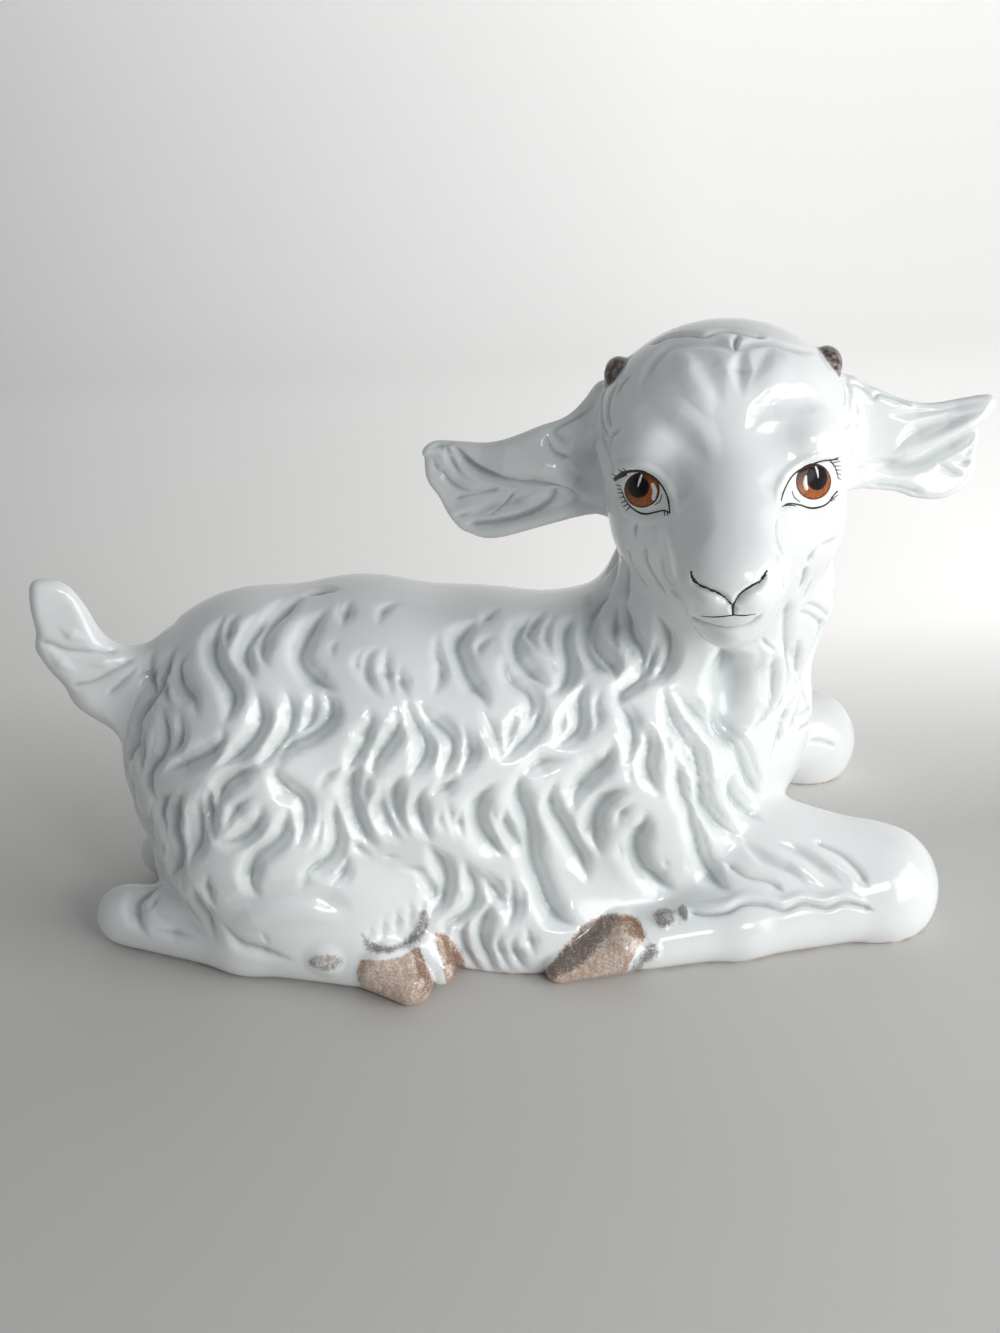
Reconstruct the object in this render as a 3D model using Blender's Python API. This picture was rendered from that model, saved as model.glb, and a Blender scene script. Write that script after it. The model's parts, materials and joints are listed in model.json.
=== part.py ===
"""Lying kid goat statue: a hollow slip-cast body and head with luted legs, ears, tail and horn buds.

The goat faces +X, its left side is +Y and it lies on the floor at Z = 0.
The head is turned to the goat's right. All lengths below are in millimetres and become metres in metres().
"""
import math

import bmesh
import bpy
from mathutils import Matrix, Vector
from mathutils.bvhtree import BVHTree
from mathutils.kdtree import KDTree

# Clay and joints
WALL = 7.0              # thickness of the cast shell of the trunk and the head
LEG_WALL = 7.0          # thickness of the cast shell of the forelegs
BREATHER_RADIUS = 7.0   # hole through the trunk wall into each hollow foreleg
LUTE = 0.3              # thickness of the slip layer in every joint between two pieces
BASE_FLOOR = 7.0        # thickness of the flat underside

# Trunk: each lump is a centre and three radii
BARREL = ((-10, 0, 78), (125, 81, 80))
RUMP = ((-93, 0, 83), (72, 77, 83))
LOIN = ((-48, 0, 82), (80, 79, 86))
RUMP_PITCH = -6.0       # degrees the rump lump leans
SHOULDERS = ((70, 0, 76), (92, 80, 75))
SKIRT = ((-8, 0, 26), (150, 88, 46))
FRINGE = ((28, 0, 12), (88, 97, 34))
CHEST = ((125, 0, 88), (53, 56, 70))
THIGH = ((-92, 46, 62), (58, 38, 54))
SHOULDER_BLADE = ((84, 44, 64), (48, 38, 58))
THROAT = ((139, -2, 153), (46, 43, 50))
NECK_LOW = (112, 0, 125)            # lower end of the neck
NECK_LOW_RADIUS = 51.0
NECK_SEAM = 166.0                   # height of the joint between trunk and head

# Vent through the underside, needed for drying and firing
VENT_CENTRE = (-62, 0)
VENT_RADIUS = 13.0

# Main valleys between the locks of the coat, pressed into both flanks. Each is a few pairs of the distance
# along the trunk and the degrees round it from the spine, seen from a middle line at VALLEY_AXIS height.
VALLEY_AXIS = 70.0
VALLEY_DEPTH = 3.8
VALLEY_HALF_WIDTH = 7.5
VALLEY_FADE = 7.0       # length over which a valley starts and ends
VALLEYS = (
    ((-148, 2), (-148, 14), (-146, 28)),
    ((-129, 16), (-135, 23), (-128, 33), (-126, 38)),
    ((-112, 7), (-118, 18), (-112, 31), (-115, 42)),
    ((-88, 7), (-101, 18), (-103, 25), (-100, 31)),
    ((-100, 34), (-99, 44), (-108, 51), (-121, 56)),
    ((-65, 9), (-78, 22), (-75, 31), (-65, 37)),
    ((-87, 35), (-86, 46), (-93, 53), (-103, 57)),
    ((-71, 36), (-69, 44), (-82, 49), (-93, 58)),
    ((-134, 36), (-137, 43), (-146, 49)),
    ((-151, 31), (-155, 42), (-156, 55)),
    ((4, 13), (-7, 24), (-3, 35), (2, 45)),
    ((34, 6), (22, 20), (24, 31), (34, 39)),
    ((55, 5), (45, 22), (42, 36), (33, 41)),
    ((14, 28), (18, 37), (25, 44), (18, 55)),
    ((-40, 26), (-41, 33), (-41, 40)),
    ((-51, 43), (-53, 50), (-64, 63)),
    ((-34, 41), (-27, 53), (-36, 64)),
    ((-28, 42), (-16, 54), (-22, 66)),
    ((50, 38), (46, 50), (32, 59)),
    ((-10, 49), (-7, 58), (-13, 66)),
    ((66, 8), (55, 22), (63, 38)),
    ((86, 27), (78, 36), (65, 43), (65, 49)),
    ((85, 46), (94, 59), (102, 72), (103, 82)),
    ((87, 65), (96, 86), (99, 98)),
    ((59, 59), (46, 71), (40, 82)),
    ((91, 44), (105, 55), (113, 66)),
    ((-136, 64), (-143, 79), (-142, 94)),
    ((-123, 62), (-126, 72), (-123, 81)),
    ((-100, 56), (-116, 61), (-121, 73)),
    ((-94, 56), (-86, 67), (-83, 77), (-89, 84)),
    ((-90, 69), (-95, 81), (-108, 89), (-106, 101)),
    ((-67, 68), (-69, 83), (-85, 97)),
    ((-61, 61), (-62, 73), (-52, 88)),
    ((-47, 66), (-48, 76), (-41, 86)),
    ((-38, 63), (-43, 72), (-37, 84)),
    ((3, 69), (-5, 82), (2, 93), (10, 98)),
    ((16, 66), (17, 80), (21, 98), (27, 112), (40, 117)),
    ((32, 71), (31, 82), (40, 97), (48, 110)),
    ((-28, 89), (-20, 103), (-31, 112)),
    ((-12, 97), (-8, 109), (-22, 117)),
    ((-6, 102), (4, 110), (7, 115)),
    ((2, 109), (-6, 118), (1, 127)),
    ((65, 75), (51, 82), (53, 100)),
    ((73, 84), (69, 98), (82, 114)),
)

# Head: lumps in the head's own frame, u to the left side of the goat, v out of the face, w up
HEAD_CENTRE = (121, -12, 232)
HEAD_TURN = 15.0        # degrees past a right angle that the head looks back
HEAD_ROLL = 4.5         # degrees the head leans
SKULL = ((-1, -2, 1), (61, 58, 52))
NAPE = (3, 8, -42)                  # upper end of the neck, from the centre of the head
NAPE_RADIUS = 47.0
CROWN = ((0, 6, 24), (50, 46, 34))
TEMPLE = ((31, 2, 18), (24, 36, 27))
CHEEK = ((29, 22, -24), (25, 34, 31))
BROW = ((33, 36, 10), (19, 19, 19))
BRIDGE_TOP = (0, 40, -12)           # the bridge of the nose runs between two balls
BRIDGE_TOP_RADIUS = 34.0
BRIDGE_TIP = (0, 84, -30)
BRIDGE_TIP_RADIUS = 25.0
NOSE = ((0, 88, -28), (26, 22, 21))
CHIN = ((0, 78, -51), (20, 22, 16))
JAW_BACK = (0, 20, -42)
JAW_BACK_RADIUS = 31.0
JAW_FRONT = (0, 62, -44)
JAW_FRONT_RADIUS = 22.0

# Ears: stations of distance from the root, setback, height, half width and half thickness, head frame
EAR_SINK = 14.5         # how far the root of an ear lies inside the side of the skull
EAR_LEAN = 14.0         # degrees the lower edge of an ear stands forward
EAR_CUP = 5.0           # how far both edges of an ear curl forward
RIGHT_EAR = (
    (0, -3, 2, 28.0, 6.5),
    (20, -3, -7, 27.0, 5.5),
    (40, -3, -15, 24.0, 4.6),
    (59, -4, -19, 24.0, 4.4),
    (76, -6, -18, 22.5, 4.2),
    (87, -8, -13, 18.0, 3.8),
    (94, -10, -7, 11.0, 3.2),
    (97, -11, -4, 4.5, 2.2),
)
LEFT_EAR = (
    (0, -3, 3, 27.5, 6.5),
    (19, -4, -2, 25.0, 5.5),
    (36, -4, -8, 23.0, 4.6),
    (51, -5, -10, 23.0, 4.4),
    (63, -7, -8, 22.0, 4.2),
    (70, -8, -3, 17.0, 3.8),
    (75, -11, 6, 9.0, 3.2),
    (80, -13, 10, 3.5, 2.2),
)
HORN_BUD_OFFSET = (17, -4, 16)      # from the middle of the temple lump
HORN_BUD_RADII = (8, 12, 8)

# Tail: stations of distance back and up from the root, half width, half thickness and lean in degrees
TAIL_SINK = 27.0        # how far the root of the tail lies inside the rump
TAIL_RISE = 38.0        # height of the root above the middle of the rump
TAIL = (
    (0, 0, 23.5, 15.0, 72),
    (16, 1, 23.0, 14.5, 70),
    (30, 6, 21.5, 13.0, 68),
    (40, 17, 20.5, 11.5, 62),
    (47, 32, 19.0, 9.5, 58),
    (53, 44, 16.0, 8.0, 58),
    (57, 54, 10.0, 6.0, 56),
    (60, 61, 3.5, 3.0, 56),
)

# Forelegs, folded under: places and radii along the limb, for a leg on the +Y side
ELBOW = (122, 46, 42)
ELBOW_RADIUS = 25.0
KNEE_TOP = (190, 66, 28)
KNEE_TOP_RADIUS = 20.0
KNEE = (199, 70, 25)
KNEE_RADIUS = 23.0
KNEE_PAD = ((199, 74, 14), (25, 23, 25))
FOREARM_PAD = ((138, 62, 24), (52, 27, 23))
SHANK_TOP = (188, 76, 18)
SHANK_TOP_RADIUS = 19.5
SHANK_MID = (120, 86, 14)
SHANK_MID_RADIUS = 15.0
FETLOCK = (70, 89, 13)
FETLOCK_RADIUS = 14.0
LEFT_FORELEG_SHIFT = 12.0           # the left knee is set this much further forward

# Hind legs, folded: the shank lies on the floor from the hock to the toes, for the +Y side
HOCK = (-169, 27, 15)
HOCK_RADIUS = 15.5
HIND_SHANK = (-112, 58, 18)
HIND_SHANK_RADIUS = 18.0
HIND_FETLOCK = (-58, 80, 16)
HIND_FETLOCK_RADIUS = 16.0
STIFLE = ((-74, 64, 38), (52, 24, 28))
LEFT_HOCK_SHIFT = 20.0              # the left hock is tucked in by this much

# Hooves: two toes each, with top and tip as offsets from the fetlock and the radius at each
FORE_TOES = (
    ((-10, 4, 1), 12.5, (-39, 5, -6), 7.5),
    ((-10, -5, 3), 12.0, (-35, -5, -4), 7.5),
)
HIND_TOES = (
    ((6, 7, -1), 14.0, (18, 16, -7), 10.5),
    ((24, 2, 0), 12.5, (34, 10, -8), 8.5),
)

# Grain of the castings and the number of triangles each skin is thinned to
BODY_VOXEL = 4.5
HEAD_VOXEL = 3.2
LIMB_VOXEL = 2.6
HOOF_VOXEL = 1.7
TRUNK_TRIANGLES = 8400
TRUNK_CAVITY_TRIANGLES = 900
HEAD_TRIANGLES = 2100
HEAD_CAVITY_TRIANGLES = 600
FORELEG_TRIANGLES = 800
HIND_LEG_TRIANGLES = 600
HOOF_TRIANGLES = 420
BUD_TRIANGLES = 260
BODY_SMOOTHING = 30
SMOOTHING = 14
HOOF_SMOOTHING = 4
MELT_LENGTHS = (0.00006, 0.00004, 0.00002, 0.00001, 0.0)    # metres, tried from the longest
FAR = 400               # beyond every side of the statue


def clear_scene():
    """Remove whatever the new file starts with."""
    for obj in list(bpy.data.objects):
        bpy.data.objects.remove(obj, do_unlink=True)


def metres(values):
    """Millimetres to a vector in metres."""
    return Vector([value / 1000.0 for value in values])


def mirrored(point, side):
    """A point given for the +Y side, moved to the side wanted (+1 left, -1 right)."""
    return (point[0], point[1] * side, point[2])


def moved(point, shift):
    """A point moved along X."""
    return (point[0] + shift, point[1], point[2])


def offset(point, by):
    """A point moved by three distances."""
    return tuple(a + b for a, b in zip(point, by))


def head_frame():
    """Matrix from the head's own u, v, w to the statue's X, Y, Z."""
    turn = math.radians(HEAD_TURN)
    roll = math.radians(HEAD_ROLL)
    forward = Vector((-math.sin(turn), -math.cos(turn), 0.0))
    level = Vector((math.cos(turn), -math.sin(turn), 0.0))
    up = Vector((0.0, 0.0, 1.0))
    across = level * math.cos(roll) + up * math.sin(roll)
    upright = up * math.cos(roll) - level * math.sin(roll)
    columns = Matrix((across, forward, upright)).transposed().to_4x4()
    return Matrix.Translation(metres(HEAD_CENTRE)) @ columns


def add_ball(shape, centre, radii, pitch=0.0):
    """Add one ellipsoid of clay to a bmesh."""
    place = Matrix.Translation(metres(centre))
    lean = Matrix.Rotation(math.radians(pitch), 4, "Y")
    size = Matrix.Diagonal((*metres(radii), 1.0))
    bmesh.ops.create_uvsphere(shape, u_segments=32, v_segments=20, radius=1.0, matrix=place @ lean @ size)


def add_bone(shape, start, start_radius, end, end_radius, around=28):
    """Add one round bar of clay with domed ends to a bmesh."""
    a = metres(start)
    b = metres(end)
    turn = (b - a).to_track_quat("Z", "Y").to_matrix().to_4x4()
    made = bmesh.ops.create_uvsphere(shape, u_segments=around, v_segments=around // 2, radius=1.0)
    for vert in made["verts"]:
        near_end = vert.co.z > 1e-6
        radius = (end_radius if near_end else start_radius) / 1000.0
        vert.co = (b if near_end else a) + (turn @ (vert.co * radius))


def new_object(name, shape):
    """Turn a bmesh into an object in the scene."""
    mesh = bpy.data.meshes.new(name)
    shape.to_mesh(mesh)
    shape.free()
    obj = bpy.data.objects.new(name, mesh)
    bpy.context.scene.collection.objects.link(obj)
    return obj


def bake(obj):
    """Apply the object's modifiers."""
    bpy.context.view_layer.update()
    graph = bpy.context.evaluated_depsgraph_get()
    mesh = bpy.data.meshes.new_from_object(obj.evaluated_get(graph))
    obj.modifiers.clear()
    obj.data = mesh
    return obj


def cast(name, shape, voxel, triangles, smoothing=SMOOTHING, press=None):
    """Join loose lumps of clay into one smooth skin of about the wanted number of triangles.

    press, where given, is a function that presses relief into the fine skin before it is thinned.
    """
    obj = new_object(name, shape)
    skin = obj.modifiers.new("join", "REMESH")
    skin.mode = "VOXEL"
    skin.voxel_size = voxel / 1000.0
    soften = obj.modifiers.new("soften", "SMOOTH")
    soften.factor = 0.5
    soften.iterations = round(smoothing)
    bake(obj)
    if press:
        finer = obj.modifiers.new("finer", "SUBSURF")
        finer.levels = 1
        bake(obj)
        press(obj)
    have = sum(len(face.vertices) - 2 for face in obj.data.polygons)
    thin = obj.modifiers.new("thin", "DECIMATE")
    thin.ratio = min(1.0, triangles / have)
    return bake(obj)


def cut(obj, cutter, keep_cutter=False):
    """Take the cutter's shape out of the object."""
    tool = obj.modifiers.new("cut", "BOOLEAN")
    tool.operation = "DIFFERENCE"
    tool.solver = "EXACT"
    tool.object = cutter
    bake(obj)
    if not keep_cutter:
        bpy.data.objects.remove(cutter, do_unlink=True)
    return obj


def box(name, low, high):
    """A block between two corners."""
    shape = bmesh.new()
    a = metres(low)
    b = metres(high)
    size = Matrix.Diagonal((*(b - a), 1.0))
    bmesh.ops.create_cube(shape, size=1.0, matrix=Matrix.Translation((a + b) / 2) @ size)
    return new_object(name, shape)


def below_floor():
    """Everything under the floor."""
    return box("below_floor", (-FAR, -FAR, -FAR), (FAR, FAR, 0))


def above_seam():
    """Everything round the neck above the joint with the head."""
    behind_neck = NECK_LOW[0] - 1.4 * NECK_LOW_RADIUS
    return box("above_seam", (behind_neck, -FAR, NECK_SEAM), (FAR, FAR, FAR))


def swollen(obj, by):
    """A copy of a skin moved outward by the same amount everywhere, used to cut a seat."""
    shape = bmesh.new()
    shape.from_mesh(obj.data)
    shape.normal_update()
    moves = [vert.normal * vert.calc_shell_factor() * (by / 1000.0) for vert in shape.verts]
    for vert, move in zip(shape.verts, moves):
        vert.co += move
    return new_object(obj.name + "_seat", shape)


def largest_island(shape):
    """Drop any crumb of clay that a cut left behind."""
    left = set(shape.verts)
    best = set()
    while left:
        start = left.pop()
        island = {start}
        queue = [start]
        while queue:
            vert = queue.pop()
            for edge in vert.link_edges:
                other = edge.other_vert(vert)
                if other not in island:
                    island.add(other)
                    left.discard(other)
                    queue.append(other)
        if len(island) > len(best):
            best = island
    crumbs = [vert for vert in shape.verts if vert not in best]
    bmesh.ops.delete(shape, geom=crumbs, context="VERTS")


def tidied(mesh, dist):
    """The mesh as one closed body of triangles, with edges shorter than dist melted away."""
    shape = bmesh.new()
    shape.from_mesh(mesh)
    if dist > 0:
        bmesh.ops.dissolve_degenerate(shape, edges=shape.edges, dist=dist)
    largest_island(shape)
    bmesh.ops.triangulate(shape, faces=shape.faces)
    bmesh.ops.recalc_face_normals(shape, faces=shape.faces)
    if shape.calc_volume(signed=True) < 0:
        bmesh.ops.reverse_faces(shape, faces=shape.faces)
    return shape


def finish(obj, material):
    """Clean the mesh as far as it stays closed and give the object its glaze."""
    for dist in MELT_LENGTHS:
        shape = tidied(obj.data, dist)
        if all(edge.is_manifold for edge in shape.edges):
            break
        if dist > 0:
            shape.free()
    shape.to_mesh(obj.data)
    shape.free()
    obj.data.materials.clear()
    obj.data.materials.append(material)
    return obj


def glaze(name, colour, roughness):
    """A fired glaze colour."""
    material = bpy.data.materials.new(name)
    material.use_nodes = True
    shader = material.node_tree.nodes["Principled BSDF"]
    shader.inputs["Base Color"].default_value = (*colour, 1.0)
    shader.inputs["Roughness"].default_value = roughness
    shader.inputs["IOR"].default_value = 1.52
    return material


def white_glaze(part):
    """The cool white glaze of the coat."""
    return glaze(part + "_white_glaze", (0.80, 0.83, 0.82), 0.12)


def hoof_glaze(part):
    """The pinkish brown wash of the hooves."""
    return glaze(part + "_brown_wash", (0.52, 0.36, 0.27), 0.2)


def horn_glaze(part):
    """The grey brown stain of the horn buds."""
    return glaze(part + "_grey_stain", (0.19, 0.15, 0.12), 0.25)


def smooth_line(points, steps=40):
    """Points along a smooth curve through the given points."""
    rows = [tuple(2 * a - b for a, b in zip(points[0], points[1])), *points,
            tuple(2 * a - b for a, b in zip(points[-1], points[-2]))]
    line = []
    for before, start, end, after in zip(rows, rows[1:], rows[2:], rows[3:]):
        for n in range(steps):
            t = n / steps
            line.append(tuple(
                0.5 * (2 * q + (r - p) * t + (2 * p - 5 * q + 4 * r - s) * t * t
                       + (3 * q - 3 * r + s - p) * t ** 3)
                for p, q, r, s in zip(before, start, end, after)))
    return line + [points[-1]]


def valley_path(tree, valley, side):
    """Points of a valley on one flank, found by looking outward from the middle line of the trunk."""
    path = []
    for x, degrees in smooth_line(valley):
        angle = math.radians(degrees)
        outward = Vector((0.0, side * math.sin(angle), math.cos(angle)))
        place = tree.ray_cast(metres((x, 0, VALLEY_AXIS)), outward)[0]
        path.append(place)
    return path


def press_valleys(obj):
    """Press the main valleys between the locks into both flanks."""
    shape = bmesh.new()
    shape.from_mesh(obj.data)
    shape.verts.ensure_lookup_table()
    shape.normal_update()
    tree = BVHTree.FromBMesh(shape)
    finder = KDTree(len(shape.verts))
    for vert in shape.verts:
        finder.insert(vert.co, vert.index)
    finder.balance()
    width = VALLEY_HALF_WIDTH / 1000.0
    deepest = {}
    for valley in VALLEYS:
        for side in (-1, 1):
            path = valley_path(tree, valley, side)
            for place in path:
                to_end = min((place - path[0]).length, (place - path[-1]).length)
                depth = VALLEY_DEPTH / 1000.0 * min(1.0, to_end / (VALLEY_FADE / 1000.0))
                for _, index, distance in finder.find_range(place, width):
                    sink = depth * (1 - distance / width) ** 2
                    deepest[index] = max(deepest.get(index, 0.0), sink)
    for index, sink in deepest.items():
        vert = shape.verts[index]
        vert.co -= vert.normal * sink
    shape.to_mesh(obj.data)
    shape.free()


def add_neck(shape, inset):
    """Add the neck between the chest and the nape."""
    nape = offset(HEAD_CENTRE, NAPE)
    add_bone(shape, NECK_LOW, NECK_LOW_RADIUS - inset, nape, NAPE_RADIUS - inset)


def trunk_lumps(inset):
    """The lumps of the trunk, each made smaller all round by the inset."""
    shape = bmesh.new()

    def ball(lump, side=1, pitch=0.0):
        add_ball(shape, mirrored(lump[0], side), [radius - inset for radius in lump[1]], pitch)

    ball(BARREL)
    ball(RUMP, pitch=RUMP_PITCH)
    ball(LOIN)
    ball(SHOULDERS)
    ball(SKIRT)
    ball(FRINGE)
    ball(CHEST)
    ball(THROAT)
    for side in (-1, 1):
        ball(THIGH, side)
        ball(SHOULDER_BLADE, side)
    add_neck(shape, inset)
    return shape


def make_trunk():
    """Hollow trunk with the thighs and the neck collar, open at the neck and vented below."""
    trunk = cast("trunk", trunk_lumps(0.0), BODY_VOXEL, TRUNK_TRIANGLES, BODY_SMOOTHING, press_valleys)
    cut(trunk, below_floor())
    return cut(trunk, above_seam())


def hollow_trunk(trunk):
    """Pour the slip out: the cavity follows the skin, stops above the base and leaves by the neck."""
    cavity = cast("trunk_cavity", trunk_lumps(WALL), BODY_VOXEL, TRUNK_CAVITY_TRIANGLES, BODY_SMOOTHING)
    cut(cavity, box("slab", (-FAR, -FAR, -FAR), (FAR, FAR, BASE_FLOOR)))
    cut(trunk, cavity)
    vent = bmesh.new()
    place = Matrix.Translation(metres((*VENT_CENTRE, 0.0)))
    radius = VENT_RADIUS / 1000.0
    depth = 4 * BASE_FLOOR / 1000.0
    bmesh.ops.create_cone(vent, cap_ends=True, segments=24, radius1=radius, radius2=radius, depth=depth,
                          matrix=place)
    return cut(trunk, new_object("vent", vent))


def head_lumps(inset):
    """The lumps of the head in the head frame with the stub of the neck, made smaller by the inset."""
    shape = bmesh.new()

    def ball(lump, side=1):
        centre = (lump[0][0] * side, lump[0][1], lump[0][2])
        add_ball(shape, centre, [radius - inset for radius in lump[1]])

    ball(SKULL)
    ball(CROWN)
    ball(NOSE)
    ball(CHIN)
    for side in (-1, 1):
        ball(CHEEK, side)
        ball(BROW, side)
        ball(TEMPLE, side)
    add_bone(shape, BRIDGE_TOP, BRIDGE_TOP_RADIUS - inset, BRIDGE_TIP, BRIDGE_TIP_RADIUS - inset)
    add_bone(shape, JAW_BACK, JAW_BACK_RADIUS - inset, JAW_FRONT, JAW_FRONT_RADIUS - inset)
    bmesh.ops.transform(shape, matrix=head_frame(), verts=shape.verts)
    add_ball(shape, THROAT[0], [radius - inset for radius in THROAT[1]])
    add_neck(shape, inset)
    return shape


def make_head():
    """Hollow head with muzzle, brows and jaw, open where it is luted to the neck."""
    head = cast("head", head_lumps(0.0), HEAD_VOXEL, HEAD_TRIANGLES)
    return cut(head, box("neck_side", (-FAR, -FAR, -FAR), (FAR, FAR, NECK_SEAM + LUTE)))


def hollow_head(head):
    """Empty the head down to its shell."""
    cavity = cast("head_cavity", head_lumps(WALL), BODY_VOXEL, HEAD_CAVITY_TRIANGLES)
    return cut(head, cavity)


def leaf(name, sections):
    """Skin rings of points into one closed, tapering piece."""
    shape = bmesh.new()
    rings = [[shape.verts.new(metres(point)) for point in section] for section in sections]
    for ring, following in zip(rings, rings[1:]):
        count = len(ring)
        for n in range(count):
            m = (n + 1) % count
            shape.faces.new((ring[n], ring[m], following[m], following[n]))
    shape.faces.new(rings[0][::-1])
    shape.faces.new(rings[-1])
    bmesh.ops.recalc_face_normals(shape, faces=shape.faces)
    return new_object(name, shape)


def ear_section(station, side, points=14):
    """One cupped cross section of an ear in the head frame."""
    reach, setback, height, half_width, half_thickness = station
    out = SKULL[1][0] - EAR_SINK + reach
    lean = math.radians(EAR_LEAN)
    section = []
    for n in range(points):
        angle = 2 * math.pi * n / points
        along = math.cos(angle) * half_width
        cup = EAR_CUP * half_width / RIGHT_EAR[0][3] * (math.cos(angle) ** 2 - 0.5)
        through = math.sin(angle) * half_thickness + cup
        v = setback - along * math.sin(lean) + through * math.cos(lean)
        w = height + along * math.cos(lean) + through * math.sin(lean)
        section.append((out * side, v, w))
    return section


def make_ear(name, stations, side, head):
    """Solid pressed ear, luted to the side of the head."""
    ear = leaf(name, [ear_section(station, side) for station in stations])
    ear.data.transform(head_frame())
    soften = ear.modifiers.new("soften", "SUBSURF")
    soften.levels = 1
    soften.render_levels = 1
    bake(ear)
    return cut(ear, swollen(head, LUTE))


def make_horn_bud(name, side, head):
    """Small solid bud, luted to the crown."""
    shape = bmesh.new()
    middle = offset(TEMPLE[0], HORN_BUD_OFFSET)
    add_ball(shape, (middle[0] * side, middle[1], middle[2]), HORN_BUD_RADII)
    bmesh.ops.transform(shape, matrix=head_frame(), verts=shape.verts)
    bud = cast(name, shape, HOOF_VOXEL, BUD_TRIANGLES, HOOF_SMOOTHING)
    return cut(bud, swollen(head, LUTE))


def tail_section(station, points=12):
    """One oval cross section of the tail."""
    back, up, half_width, half_thickness, lean = station
    x = RUMP[0][0] - RUMP[1][0] + TAIL_SINK - back
    z = RUMP[0][2] + TAIL_RISE + up
    tilt = math.radians(lean)
    section = []
    for n in range(points):
        angle = 2 * math.pi * n / points
        along = math.cos(angle) * half_width
        through = math.sin(angle) * half_thickness
        section.append((x + along * math.cos(tilt), through, z + along * math.sin(tilt)))
    return section


def make_tail(trunk):
    """Solid raised tail, luted to the rump."""
    tail = leaf("tail", [tail_section(station) for station in TAIL])
    soften = tail.modifiers.new("soften", "SUBSURF")
    soften.levels = 1
    soften.render_levels = 1
    bake(tail)
    return cut(tail, swollen(trunk, LUTE))


def foreleg_lumps(side):
    """Forearm, knee and folded shank of one foreleg."""
    shift = LEFT_FORELEG_SHIFT if side > 0 else 0.0
    knee_top = moved(mirrored(KNEE_TOP, side), shift)
    knee = moved(mirrored(KNEE, side), shift)
    shank_top = moved(mirrored(SHANK_TOP, side), shift)
    shank_mid = mirrored(SHANK_MID, side)
    fetlock = mirrored(FETLOCK, side)
    shape = bmesh.new()
    add_bone(shape, mirrored(ELBOW, side), ELBOW_RADIUS, knee_top, KNEE_TOP_RADIUS)
    add_bone(shape, knee_top, KNEE_TOP_RADIUS, knee, KNEE_RADIUS)
    add_bone(shape, shank_top, SHANK_TOP_RADIUS, shank_mid, SHANK_MID_RADIUS)
    add_bone(shape, shank_mid, SHANK_MID_RADIUS, fetlock, FETLOCK_RADIUS)
    add_ball(shape, mirrored(FOREARM_PAD[0], side), FOREARM_PAD[1])
    add_ball(shape, moved(mirrored(KNEE_PAD[0], side), shift), KNEE_PAD[1])
    return shape


def make_foreleg(name, side, trunk):
    """Folded foreleg, luted along the chest and the belly, with the seat that its hoof is cut to."""
    leg = cast(name, foreleg_lumps(side), LIMB_VOXEL, FORELEG_TRIANGLES)
    seat = swollen(leg, LUTE)
    cut(leg, below_floor())
    return cut(leg, swollen(trunk, LUTE)), seat


def foreleg_core(side):
    """The hollow of a foreleg, from inside the trunk to the knee."""
    shift = LEFT_FORELEG_SHIFT if side > 0 else 0.0
    elbow = mirrored(ELBOW, side)
    knee = moved(mirrored(KNEE, side), shift)
    shape = bmesh.new()
    add_bone(shape, elbow, ELBOW_RADIUS - LEG_WALL, knee, KNEE_RADIUS - LEG_WALL, around=16)
    return new_object("foreleg_core", shape)


def breather(side):
    """A hole through the trunk wall on the line from the elbow to the knee."""
    shift = LEFT_FORELEG_SHIFT if side > 0 else 0.0
    elbow = metres(mirrored(ELBOW, side))
    knee = metres(moved(mirrored(KNEE, side), shift))
    turn = (knee - elbow).to_track_quat("Z", "Y").to_matrix().to_4x4()
    radius = BREATHER_RADIUS / 1000.0
    shape = bmesh.new()
    bmesh.ops.create_cone(shape, cap_ends=True, segments=16, radius1=radius, radius2=radius,
                          depth=(knee - elbow).length, matrix=Matrix.Translation(elbow) @ turn)
    return new_object("breather", shape)


def hind_leg_lumps(side):
    """Stifle, hock and folded shank of one hind leg."""
    shift = LEFT_HOCK_SHIFT if side > 0 else 0.0
    shape = bmesh.new()
    hock = moved(mirrored(HOCK, side), shift)
    shank = mirrored(HIND_SHANK, side)
    fetlock = mirrored(HIND_FETLOCK, side)
    add_bone(shape, hock, HOCK_RADIUS, shank, HIND_SHANK_RADIUS)
    add_bone(shape, shank, HIND_SHANK_RADIUS, fetlock, HIND_FETLOCK_RADIUS)
    add_ball(shape, mirrored(STIFLE[0], side), STIFLE[1])
    return shape


def make_hind_leg(name, side, trunk):
    """Folded hind shank on the floor, luted to thigh and belly, with the seat its hoof is cut to."""
    leg = cast(name, hind_leg_lumps(side), LIMB_VOXEL, HIND_LEG_TRIANGLES)
    seat = swollen(leg, LUTE)
    cut(leg, below_floor())
    return cut(leg, swollen(trunk, LUTE)), seat


def make_hoof(name, fetlock, toes, side, trunk, seat):
    """Cloven hoof of two toes, luted to the end of its leg."""
    shape = bmesh.new()
    for top, top_radius, tip, tip_radius in toes:
        start = mirrored(offset(fetlock, top), side)
        end = mirrored(offset(fetlock, tip), side)
        add_bone(shape, start, top_radius, end, tip_radius)
    hoof = cast(name, shape, HOOF_VOXEL, HOOF_TRIANGLES, HOOF_SMOOTHING)
    cut(hoof, below_floor())
    cut(hoof, swollen(trunk, LUTE))
    return cut(hoof, seat)


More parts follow.
